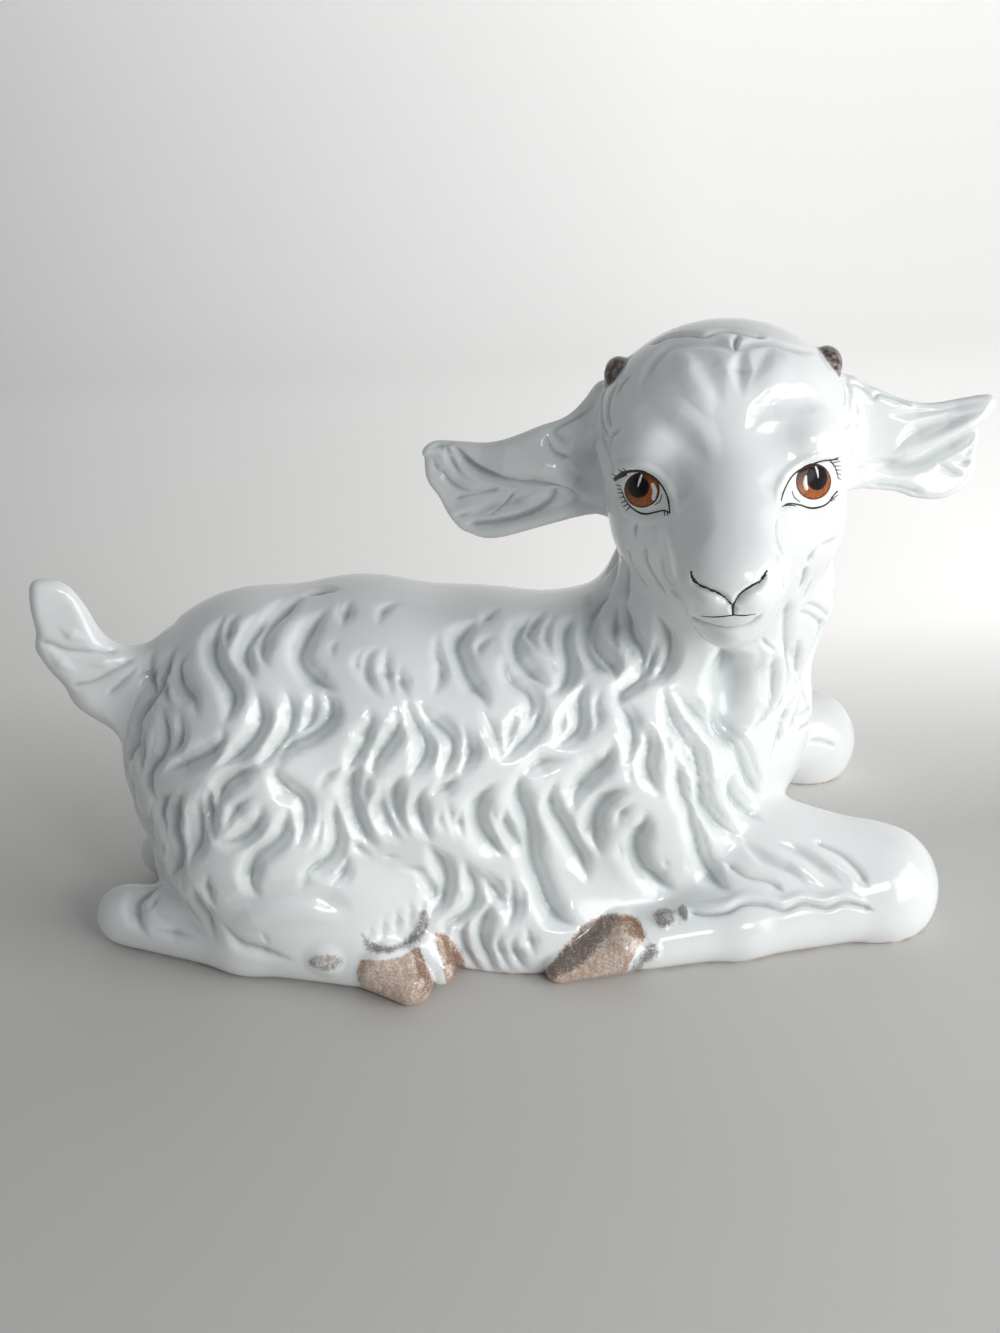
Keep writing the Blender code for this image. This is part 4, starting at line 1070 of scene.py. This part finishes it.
def owners(parts, points):
    """The number of the CAD node that each point belongs to."""
    names = list(parts)
    nearest = np.full(len(points), FAR)
    owner = np.zeros(len(points), int)
    for n, name in enumerate(names):
        value = parts[name][0].reach(points)
        better = value < nearest
        nearest[better] = value[better]
        owner[better] = n
    above = (owner == names.index("trunk")) & (points[:, 2] > NECK_SEAM) & (points[:, 0] > NECK_BACK)
    owner[above] = names.index("head")
    below = (owner == names.index("head")) & (points[:, 2] < NECK_SEAM)
    owner[below] = names.index("trunk")
    return owner


def split_faces(points, faces):
    """Each face in four, with new points in the middle of edges and faces."""
    count = len(points)
    edges = np.concatenate([faces[:, [n, (n + 1) % 4]] for n in range(4)])
    keys = np.sort(edges, 1)
    keys = keys[:, 0].astype(np.int64) * count + keys[:, 1]
    used, order = np.unique(keys, return_inverse=True)
    middle = (points[used // count] + points[used % count]) / 2
    centre = points[faces].mean(1)
    number = len(faces)
    edge = [count + order[n * number:(n + 1) * number] for n in range(4)]
    hub = count + len(used) + np.arange(number)
    quads = [np.stack([faces[:, n], edge[n], hub, edge[n - 1]], 1) for n in range(4)]
    return np.vstack([points, middle, centre]), np.concatenate(quads), np.tile(np.arange(number), 4)


def in_order(points, faces):
    """The same skin with its points in the order of their X, so that a stretch of it is quickly found."""
    order = np.argsort(points[:, 0], kind="stable")
    place = np.empty(len(order), int)
    place[order] = np.arange(len(order))
    return points[order], place[faces]


def point_normals(points, faces):
    """Normals of the points, weighted by the faces round them."""
    a, b, c, d = (points[faces[:, n]] for n in range(4))
    face = np.cross(c - a, d - b)
    total = np.stack([sum(np.bincount(faces[:, n], face[:, axis], minlength=len(points)) for n in range(4))
                      for axis in range(3)], 1)
    return total / (np.linalg.norm(total, axis=1, keepdims=True) + 1e-12)


def surface_tree(points, faces):
    """Search tree of a surface."""
    return BVHTree.FromPolygons(points.tolist(), faces.tolist())


def thrown(tree, pixels, spacing=LINE_SPACING):
    """A line of pixels thrown from the camera onto the surface: points and normals, cut off where it leaps."""
    found = []
    for x, y in open_curve(pixels, spacing):
        place, normal, _, _ = tree.ray_cast(Vector(EYE), Vector(sight(x, y)))
        if place is None:
            continue
        if found and (place - found[-1][0]).length > LEAP:
            if len(found) > 3:
                break
            found = []
        found.append((place, normal))
    return np.array([place[:] for place, _ in found]), np.array([normal[:] for _, normal in found])


def hidden_side(tree, line):
    """The mirror image of a line, kept only where the camera doesn't see it."""
    kept = []
    for x, y, z in line:
        place = tree.find_nearest(Vector((x, -y, z)))[0]
        way = place - Vector(EYE)
        seen, _, _, distance = tree.ray_cast(Vector(EYE), way.normalized())
        if seen is None or distance < way.length - HIDDEN_BY:
            kept.append(place[:])
    return np.array(kept)


def stroke_relief(points, line, depth, width, soft, fade):
    """How deep a valley along a line goes at points that are in the order of their X.

    A soft valley has a round bottom. Any other has a crease between two round banks.
    """
    low = line.min(0) - width
    high = line.max(0) + width
    first, last = np.searchsorted(points[:, 0], (low[0], high[0]))
    stretch = points[first:last]
    near = first + np.nonzero(((stretch > low) & (stretch < high)).all(1))[0]
    if not len(near):
        return near, np.zeros(0)
    p = points[near]
    best = np.full(len(near), FAR)
    at = np.zeros(len(near))
    run = 0.0
    for a, b in zip(line, line[1:]):
        along = b - a
        length = np.linalg.norm(along) + 1e-9
        t = np.clip((p - a) @ along / length ** 2, 0, 1)
        away = ((p - a - t[:, None] * along) ** 2).sum(1)
        closer = away < best
        best[closer] = away[closer]
        at[closer] = run + t[closer] * length
        run += length
    ends = np.clip(np.minimum(at, run - at) / min(fade, run / 2), 0, 1)
    share = np.sqrt(best) / (width * (END_WIDTH + (1 - END_WIDTH) * ends))
    bank = np.clip(1 - (share ** 2 if soft else share), 0, 1) ** 2
    return near, depth * (END_DEPTH + (1 - END_DEPTH) * ends) * bank


def beside(pixels, shift):
    """The middle part of a line of pixels, moved sideways."""
    line = open_curve(pixels, STRAND_SPACING)
    line = line[len(line) // 8:len(line) - len(line) // 8]
    if len(line) < 4:
        return None
    along = np.gradient(line, axis=0)
    along /= np.linalg.norm(along, axis=1, keepdims=True)
    return (line + shift * along @ np.array(((0, 1), (-1, 0)))).ravel()


def wrapped(tree, axis, turns):
    """A line given by degrees round an upright axis and heights, thrown outward onto the surface."""
    found = []
    for degrees, height in open_curve(turns, LINE_SPACING):
        angle = math.radians(degrees)
        place = tree.ray_cast(Vector((axis, 0, height)), Vector((math.cos(angle), math.sin(angle), 0)))[0]
        if place is not None:
            found.append(place[:])
    return np.array(found)


def evened(values, faces, rounds):
    """Values at the points, evened out with those of the faces round them."""
    count = np.bincount(faces.ravel(), minlength=len(values))
    for _ in range(rounds):
        middle = values[faces].mean(1)
        values = sum(np.bincount(faces[:, n], middle, minlength=len(values)) for n in range(4)) / count
    return values


def unbroken(path):
    """The longest stretch of a line without a leap."""
    leaps = np.nonzero(np.linalg.norm(np.diff(path, axis=0), axis=1) > LEAP)[0] + 1
    return max(np.split(path, leaps), key=len)


def carve_locks(tree, points, faces):
    """Depth of the valleys between the locks at each point."""
    valleys = np.zeros(len(points))
    strands = np.zeros(len(points))

    def carve(path, size, relief):
        path = unbroken(path) if len(path) > 2 else path
        if len(path) > 2:
            length = np.linalg.norm(np.diff(path, axis=0), axis=1).sum()
            small = min(1.0, length / SHORT_VALLEY)
            near, deep = stroke_relief(points, path, size[0] * small, size[1] * small, False, FADE)
            relief[near] = np.maximum(relief[near], deep)

    def carve_both_sides(pixels, size, relief):
        line, _ = thrown(tree, pixels)
        carve(line, size, relief)
        carve(hidden_side(tree, line), size, relief)

    for size, lines, shifts in ((DEEP, DEEP_VALLEYS, STRAND_SHIFTS), (PLAIN, PLAIN_VALLEYS, STRAND_SHIFTS),
                                (FINE, FINE_VALLEYS, ())):
        for pixels in lines:
            carve_both_sides(pixels, size, valleys)
            for shift in shifts:
                strand = beside(pixels, shift)
                if strand is not None:
                    carve_both_sides(strand, STRAND, strands)
    for axis, size, lines in WRAPPED_VALLEYS:
        for turns in lines:
            carve(wrapped(tree, axis, turns), size, valleys)
    return evened(valleys, faces, 3) + evened(strands, faces, 1)


def sculpt_forms(tree, points, smooth):
    """Valleys less ridges and swellings of the face, neck, legs, tail and ears at each point."""
    valley = np.zeros(len(points))
    ridge = np.zeros(len(points))
    for depth, width, pixels in FACE_STROKES + NECK_STROKES + LEG_STROKES + TAIL_STROKES + EAR_STROKES:
        line, facing = thrown(tree, pixels)
        if len(line) < 3:
            continue
        wide = depth < 0 or width > THIN_STROKE
        near, deep = stroke_relief(points, line, abs(depth), width, wide, FADE if wide else THIN_FADE)
        deep = deep * np.clip(2 * smooth[near] @ unit(facing.mean(0)), 0, 1)
        target = valley if depth > 0 else ridge
        target[near] = np.maximum(target[near], deep)
    for places, where in ((SWELLINGS, points), (DEWCLAWS, near_side(points))):
        for x, y, radius, height in places:
            away = np.clip(((where - seen_point(tree, x, y)) ** 2).sum(1) / radius ** 2, 0, 1)
            ridge += height * (1 - away) ** 2
    return valley - ridge


def pooled_glaze_and_shade(relief, faces):
    """How dark each point is painted: glaze pooled in deep valleys, with painted shade there too, and painted shade
    in creases below their surroundings.
    """
    deep = np.clip((relief - POOL_SHADE_FROM) / POOL_SHADE_RANGE, 0, 1) ** 1.5
    # painted shade: a crease below its surroundings is darkened as if shaded
    crease = np.clip((relief - evened(relief, faces, CREASE_ROUNDS)) / CREASE_SHADE_DEPTH, 0, 1) ** 1.4
    return np.maximum(POOL_SHADE_MOST * deep, CREASE_SHADE_MOST * crease)


def pixels_of(points):
    """Where the camera sees points, in pixels."""
    off = points - EYE
    scale = FOCAL_PIXELS / -(off @ BACK)
    return IMAGE_SIZE[0] / 2 + off @ RIGHT * scale, IMAGE_SIZE[1] / 2 - off @ UP * scale


def near_side(points):
    """The points with those of the left flank mirrored to the right flank, which the camera sees."""
    return points * np.where(points[:, 1:2] > 0, (1, -1, 1), (1, 1, 1))


def seen_point(tree, x, y):
    """The point of the surface that a pixel shows."""
    return thrown(tree, (x, y, x + 0.1, y))[0][0]


def patches(points, outlines, edge):
    """How strongly each point of the feet lies inside one of the outlines, on both sides of the statue."""
    share = np.zeros(len(points))
    near = near_side(points)
    low = (near[:, 2] < FEET_TOP) & (near[:, 1] < FEET_INSIDE)
    x, y = pixels_of(near[low])
    for outline in outlines:
        inside = np.clip(0.5 - outline_distance(x, y, closed_curve(outline)) / (2 * edge), 0, 1)
        share[low] = np.maximum(share[low], inside)
    return share


def spots(tree, points, places):
    """How strongly each point lies in one of the spots, on both sides of the statue."""
    total = np.zeros(len(points))
    near = near_side(points)
    for x, y, half_along, half_up in places:
        off = near - seen_point(tree, x, y)
        away = (off @ RIGHT / half_along) ** 2 + (off @ UP / half_up) ** 2 + (off @ BACK / SPOT_DEPTH) ** 2
        total = np.maximum(total, np.clip(1.5 - away, 0, 1))
    return total


def net_faces(rows, columns, closed=False):
    """Four-sided faces of a net of points in rows."""
    return np.array([(r * columns + n, r * columns + (n + 1) % columns, (r + 1) * columns + (n + 1) % columns,
                      (r + 1) * columns + n) for r in range(rows - 1) for n in range(columns - (not closed))])


def brush_stroke(tree, widths, pixels, lift):
    """A painted line on the clay: points and faces of a low arch that follows the surface."""
    line, normal = thrown(tree, pixels, 1.0)
    along = np.gradient(line, axis=0)
    side = np.cross(normal, along)
    side /= np.linalg.norm(side, axis=1, keepdims=True) + 1e-9
    scale = np.linalg.norm(line[0] - EYE) / FOCAL_PIXELS
    t = np.linspace(0, 1, len(line))
    half = np.interp(t, (0, 0.5, 1), widths) * LINE_SPREAD * scale
    half[[0, -1]] *= 0.4
    rows = np.stack([line + side * (half * across)[:, None] + normal * (share * lift if share else -SUNK)
                     for across, share in zip(LINE_ACROSS, LINE_SECTION)], 1)
    return rows.reshape(-1, 3), net_faces(len(line), len(LINE_ACROSS))


def brush_strokes(name, tree, strokes, material, lift):
    """One piece of several painted lines."""
    points, faces = [], []
    count = 0
    for *widths, pixels in strokes:
        p, f = brush_stroke(tree, widths, pixels, lift)
        points.append(p)
        faces.append(f + count)
        count += len(p)
    piece = new_piece(name, np.vstack(points), np.vstack(faces), material)


def painted_disc(name, tree, disc, material, lift, rings=14, spokes=56):
    """A painted round patch that follows the eyeball, with its radius and height kept for the material."""
    x, y, half_x, half_y = disc
    points, radius, above = [], [], []
    for ring in range(rings + 1):
        share = max(ring / rings, 0.01)
        for spoke in range(spokes):
            angle = 2 * math.pi * spoke / spokes
            ray = Vector(sight(x + half_x * share * math.cos(angle), y + half_y * share * math.sin(angle)))
            place, normal, _, _ = tree.ray_cast(Vector(EYE), ray)
            points.append((place + normal * (lift if ring < rings else -DISC_SUNK))[:])
            radius.append(share)
            above.append(-share * math.sin(angle + 0.6))
    piece = new_piece(name, np.array(points), net_faces(rings + 1, spokes, True), material,
                      values={"radius": np.array(radius), "above": np.array(above)})


def linked(name, data):
    """An object of the scene with this mesh, light or camera."""
    thing = bpy.data.objects.new(name, data)
    bpy.context.scene.collection.objects.link(thing)
    return thing


def smooth_mesh(name, points, faces, material):
    """A mesh in metres with smooth shading."""
    mesh = bpy.data.meshes.new(name)
    mesh.from_pydata((points / 1000.0).tolist(), [], faces.tolist())
    mesh.polygons.foreach_set("use_smooth", np.ones(len(mesh.polygons), bool))
    mesh.materials.append(material)
    return mesh


def new_piece(name, points, faces, material, normals=None, values=None):
    """A piece that rides on the statue, with values kept at its points for the material."""
    mesh = smooth_mesh(name, points, faces, material)
    for key, value in (values or {}).items():
        layer = mesh.attributes.new(key, "FLOAT", "POINT")
        layer.data.foreach_set("value", value.astype(np.float32))
    mesh.validate()
    if normals is not None:
        mesh.normals_split_custom_set_from_vertices(normals.tolist())
    piece = linked(name, mesh)
    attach(piece, "root")
    return piece


class Nodes:
    """Short names for making a material's nodes."""

    def __init__(self, name):
        self.material = bpy.data.materials.new(name)
        self.material.use_nodes = True
        self.tree = self.material.node_tree
        self.shader = self.tree.nodes["Principled BSDF"]
        self.place = self.tree.nodes.new("ShaderNodeTexCoord").outputs["Object"]

    def link(self, output, socket):
        """Join two sockets."""
        self.tree.links.new(output, socket)

    def noise(self, scale, detail=3.0, stretch=None):
        """Noise of a number of blotches per metre."""
        node = self.tree.nodes.new("ShaderNodeTexNoise")
        node.inputs["Scale"].default_value = scale
        node.inputs["Detail"].default_value = detail
        if stretch is None:
            self.link(self.place, node.inputs["Vector"])
        else:
            mapping = self.tree.nodes.new("ShaderNodeMapping")
            mapping.inputs["Scale"].default_value = stretch
            self.link(self.place, mapping.inputs["Vector"])
            self.link(mapping.outputs["Vector"], node.inputs["Vector"])
        return node.outputs["Fac"]

    def ranged(self, value, low, high, to_low=0.0, to_high=1.0):
        """A value moved from one range to another."""
        node = self.tree.nodes.new("ShaderNodeMapRange")
        self.link(value, node.inputs["Value"])
        for socket, number in zip(("From Min", "From Max", "To Min", "To Max"), (low, high, to_low, to_high)):
            node.inputs[socket].default_value = number
        return node.outputs["Result"]

    def split(self):
        """The X, Y and Z of the place in metres."""
        node = self.tree.nodes.new("ShaderNodeSeparateXYZ")
        self.link(self.place, node.inputs["Vector"])
        return node.outputs

    def attribute(self, name):
        """A value kept at the points of the mesh."""
        node = self.tree.nodes.new("ShaderNodeAttribute")
        node.attribute_name = name
        return node.outputs["Fac"]

    def maths(self, operation, a, b):
        """Sum, product or other of two values."""
        node = self.tree.nodes.new("ShaderNodeMath")
        node.operation = operation
        for socket, value in zip(node.inputs, (a, b)):
            if isinstance(value, float):
                socket.default_value = value
            else:
                self.link(value, socket)
        return node.outputs["Value"]

    def mixed(self, share, a, b):
        """A colour between two colours."""
        node = self.tree.nodes.new("ShaderNodeMix")
        node.data_type = "RGBA"
        self.link(share, node.inputs["Factor"])
        for socket, value in (("A", a), ("B", b)):
            target = [s for s in node.inputs if s.name == socket and s.type == "RGBA"][0]
            if isinstance(value, tuple):
                target.default_value = (*value, 1.0)
            else:
                self.link(value, target)
        return [s for s in node.outputs if s.type == "RGBA"][0]

    def bump(self, height, strength, distance):
        """Small bumps on the surface."""
        node = self.tree.nodes.new("ShaderNodeBump")
        node.inputs["Strength"].default_value = strength
        node.inputs["Distance"].default_value = distance
        self.link(height, node.inputs["Height"])
        self.link(node.outputs["Normal"], self.shader.inputs["Normal"])

    def paint(self, colour, roughness, specular):
        """The material as a paint of this colour."""
        self.link(colour, self.shader.inputs["Base Color"])
        self.shader.inputs["Roughness"].default_value = roughness
        self.shader.inputs["Specular IOR Level"].default_value = specular
        return self.material


def stained_glaze(name):
    """Cool white glaze, grey in the valleys where glaze pools and with painted shade in valleys and creases, over the
    brushed stains of hooves, dewclaws and horns.
    """
    nodes = Nodes(name)
    cloud = nodes.ranged(nodes.noise(14.0), 0.35, 0.7, 0.0, 0.2)
    # valleys and creases turn grey: pooled glaze with painted shade, and painted shade in the creases
    pool_and_shade = nodes.maths("ADD", nodes.maths("MULTIPLY", nodes.attribute("pool_and_shade"), 0.7), cloud)
    colour = nodes.mixed(pool_and_shade, GLAZE_WHITE, POOLED_GLAZE_AND_SHADE_GREY)
    grain = nodes.noise(900.0)
    blotch = nodes.noise(150.0)
    streak = nodes.noise(420.0, stretch=STREAK)
    worn = nodes.maths("ADD", nodes.ranged(grain, 0.3, 0.7, -0.3, 0.3), nodes.ranged(streak, 0.3, 0.7, -0.2, 0.2))
    worn = nodes.maths("ADD", worn, nodes.ranged(blotch, 0.3, 0.7, -0.15, 0.15))
    wash = nodes.mixed(nodes.ranged(worn, -0.15, 0.45), WASH_PALE, WASH_DARK)
    stains = (
        ("wash", wash, 1.45, 1.4, 0.92),        # attribute, colour, cover, amount at which it is full, and its most
        ("brown", WASH_BROWN, 1.25, 1.4, 0.8),
        ("dun", STAIN_DUN, 1.05, 1.4, 0.85),
        ("grey", STAIN_GREY, 1.4, 1.45, 0.82),
    )
    for key, stain, cover, full, most in stains:
        amount = nodes.maths("MULTIPLY", nodes.attribute(key), cover)
        share = nodes.ranged(nodes.maths("ADD", amount, worn), 0.55, full, 0.0, most)
        colour = nodes.mixed(share, colour, stain)
    horn = nodes.mixed(nodes.ranged(nodes.noise(420.0, 4.0), 0.4, 0.62), HORN_DARK, HORN_PALE)
    colour = nodes.mixed(nodes.attribute("horn"), colour, horn)
    foot = nodes.maths("MULTIPLY", nodes.ranged(nodes.split()["Z"], 0.001, 0.003, 1.0, 0.0),
                       nodes.ranged(blotch, 0.35, 0.6))
    nodes.link(nodes.mixed(foot, colour, BARE_CLAY), nodes.shader.inputs["Base Color"])
    nodes.link(nodes.ranged(nodes.noise(40.0), 0.3, 0.7, 0.09, 0.18), nodes.shader.inputs["Roughness"])
    nodes.shader.inputs["IOR"].default_value = 1.5
    nodes.bump(nodes.noise(90.0, 2.0), 0.12, 0.001)
    return nodes.material


def line_paint():
    """Dark brown black of the painted lines."""
    nodes = Nodes("line_paint")
    return nodes.paint(nodes.mixed(nodes.noise(500.0), (0.012, 0.010, 0.010), (0.07, 0.05, 0.045)), 0.3, 0.15)


def iris_paint():
    """Warm brown iris with a dark rim and streaks towards the pupil."""
    nodes = Nodes("iris_paint")
    streaks = nodes.ranged(nodes.noise(900.0, 4.0), 0.3, 0.7)
    brown = nodes.mixed(streaks, (0.44, 0.14, 0.035), (0.20, 0.05, 0.016))
    shaded = nodes.mixed(nodes.ranged(nodes.attribute("above"), -0.1, 0.75), brown, (0.035, 0.012, 0.008))
    rim = nodes.ranged(nodes.attribute("radius"), 0.84, 0.96)
    return nodes.paint(nodes.mixed(rim, shaded, (0.025, 0.010, 0.008)), 0.06, 0.2)


def pupil_paint():
    """Black pupil with a little grey towards its edge."""
    nodes = Nodes("pupil_paint")
    outward = nodes.ranged(nodes.attribute("radius"), 0.6, 1.0)
    return nodes.paint(nodes.mixed(outward, (0.006, 0.006, 0.007), (0.02, 0.014, 0.012)), 0.05, 0.12)


def glint_paint():
    """White touches in the eyes: a painted glint at the top of each pupil and a painted reflection of a window on
    each iris.
    """
    nodes = Nodes("glint_paint")
    return nodes.paint(nodes.mixed(nodes.noise(700.0), (0.86, 0.86, 0.88), (0.62, 0.58, 0.60)), 0.1, 0.5)


def paint_face(tree):
    """Eyes, lashes, nose and mouth, each this far above the glaze in millimetres."""
    black = line_paint()
    iris = iris_paint()
    pupil = pupil_paint()
    white = glint_paint()
    right_eye = RIGHT_EYE_LINES + tuple((*RIGHT_LASH, lash) for lash in RIGHT_LASHES)
    left_eye = LEFT_EYE_LINES + tuple((*LEFT_LASH, lash) for lash in LEFT_LASHES)
    brush_strokes("nose_lines", tree, NOSE_LINES, black, 0.3)
    brush_strokes("mouth_lines", tree, MOUTH_LINES, black, 0.16)
    brush_strokes("right_eye_lines", tree, right_eye, black, 0.32)
    brush_strokes("left_eye_lines", tree, left_eye, black, 0.32)
    painted_disc("right_iris", tree, RIGHT_IRIS, iris, 0.12)
    painted_disc("left_iris", tree, LEFT_IRIS, iris, 0.12)
    painted_disc("right_pupil", tree, RIGHT_PUPIL, pupil, 0.2)
    painted_disc("left_pupil", tree, LEFT_PUPIL, pupil, 0.2)
    brush_strokes("right_glints", tree, RIGHT_GLINTS, white, 0.34)
    brush_strokes("left_glints", tree, LEFT_GLINTS, white, 0.34)


def dress_skin(parts, points, faces, owner, normals, values):
    """Give each CAD node the faces of the skin that belong to it."""
    materials = {slot: stained_glaze(slot + "_glaze") for slot in ("coat", "hoof", "horn")}
    slots = {row["node"]: row["material_slot"] for row in frame["record"]["subparts"]}
    names = list(parts)
    for n, name in enumerate(names):
        mine = faces[owner == n]
        used, order = np.unique(mine, return_inverse=True)
        piece = new_piece(name + "_skin", points[used], order.reshape(-1, 4), materials[slots[name]],
                          normals[used], {key: value[used] for key, value in values.items()})
        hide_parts(name)


def backdrop_paper():
    """Pale paper that is a little darker on the floor and glows a little up the wall, more to the right: painted
    light, as if the wall were lit from the right.
    """
    nodes = Nodes("backdrop_paper")
    paper = nodes.mixed(nodes.noise(3.0), *PAPER_COLOURS)
    place = nodes.split()
    away = nodes.maths("ADD", place["Y"], place["Z"])
    nodes.link(nodes.mixed(nodes.ranged(away, 0.1, 0.8, 1.0, 0.0), paper, PAPER_FLOOR),
               nodes.shader.inputs["Base Color"])
    # painted light: the paper glows up the wall and more to the right, as if lit from that side
    painted_wall_light = nodes.maths("MULTIPLY", nodes.ranged(away, 0.0, 0.25, 0.0, 0.6), nodes.ranged(away, 0.3, 0.9, 1.0, 0.55))
    painted_wall_light = nodes.maths("MULTIPLY", painted_wall_light, nodes.ranged(place["X"], -0.45, 0.45, 0.12, 1.0))
    nodes.link(painted_wall_light, nodes.shader.inputs["Emission Strength"])
    nodes.shader.inputs["Emission Color"].default_value = PAPER_GLOW
    nodes.shader.inputs["Roughness"].default_value = 0.7
    return nodes.material


def stage_backdrop():
    """Pale floor that sweeps up into a wall."""
    rows = [(FLOOR_FRONT, 0), (FLOOR_DEPTH, 0)]
    for n in range(1, BEND_PIECES + 1):
        angle = math.pi / 2 * n / BEND_PIECES
        rows.append((FLOOR_DEPTH + FLOOR_BEND * math.sin(angle), FLOOR_BEND - FLOOR_BEND * math.cos(angle)))
    rows.append((FLOOR_DEPTH + FLOOR_BEND, WALL_TOP))
    points = np.array([(x, y, z) for y, z in rows for x in (-FLOOR_HALF_WIDTH, FLOOR_HALF_WIDTH)], float)
    backdrop = linked("backdrop", smooth_mesh("backdrop", points, net_faces(len(rows), 2), backdrop_paper()))


def soft_light(name, place, size, power):
    """A square soft box that faces the statue."""
    data = bpy.data.lights.new(name, "AREA")
    data.size = size
    data.energy = power
    light = linked(name, data)
    light.location = place
    light.rotation_euler = (Vector(place) - Vector(AIM) / 1000).to_track_quat("Z", "Y").to_euler()


def studio():
    """Backdrop, soft light and the camera."""
    stage_backdrop()
    world = bpy.data.worlds.new("room")
    world.use_nodes = True
    world.node_tree.nodes["Background"].inputs["Color"].default_value = ROOM_LIGHT
    world.node_tree.nodes["Background"].inputs["Strength"].default_value = ROOM_STRENGTH
    bpy.context.scene.world = world
    bpy.context.scene.view_settings.view_transform = "Standard"
    for box in SOFT_BOXES:
        soft_light(*box)

    data = bpy.data.cameras.new("camera")
    data.sensor_fit = "VERTICAL"
    data.sensor_height = SENSOR
    data.lens = FOCAL_PIXELS / IMAGE_SIZE[1] * SENSOR
    camera = linked("camera", data)
    turned = Matrix(np.stack([RIGHT, UP, BACK], 1).tolist()).to_4x4()
    camera.matrix_world = Matrix.Translation(Vector(EYE / 1000)) @ turned
    bpy.context.scene.camera = camera


def build():
    """Model the skin, carve it, paint it and set the scene."""
    parts = model_clay()
    whole = joined_clay(parts)
    points, faces = whole.skin()
    points = whole.settle(points)
    tree = surface_tree(points, faces)
    owner = owners(parts, points[faces].mean(1))
    points, faces, from_face = split_faces(points, faces)
    points, faces = in_order(whole.settle(points), faces)
    owner = owner[from_face]
    smooth = point_normals(points, faces)
    relief = carve_locks(tree, points, faces)
    relief += sculpt_forms(tree, points, smooth)
    horn = np.minimum(parts["right_horn_bud"][0].reach(points), parts["left_horn_bud"][0].reach(points))
    values = {
        # pooled glaze and painted shade in valleys and creases
        "pool_and_shade": pooled_glaze_and_shade(relief, faces),
        "wash": patches(points, HOOF_WASHES, WASH_EDGE),
        "brown": patches(points, BROWN_PATCHES, BRUSHED_EDGE),
        "dun": spots(tree, points, BROWN_SPOTS),
        "grey": np.maximum(patches(points, GREY_PATCHES, BRUSHED_EDGE), spots(tree, points, GREY_SPOTS)),
        "horn": np.clip(HORN_STAIN_REACH - horn, 0, 1),
    }
    points = points - smooth * relief[:, None]
    normals = point_normals(points, faces)
    dress_skin(parts, points, faces, owner, normals, values)
    face = faces[(points[faces[:, 0], 2] > FACE_LOW) & (points[faces[:, 0], 1] < 0)]
    paint_face(surface_tree(points, face))
    studio()


build()
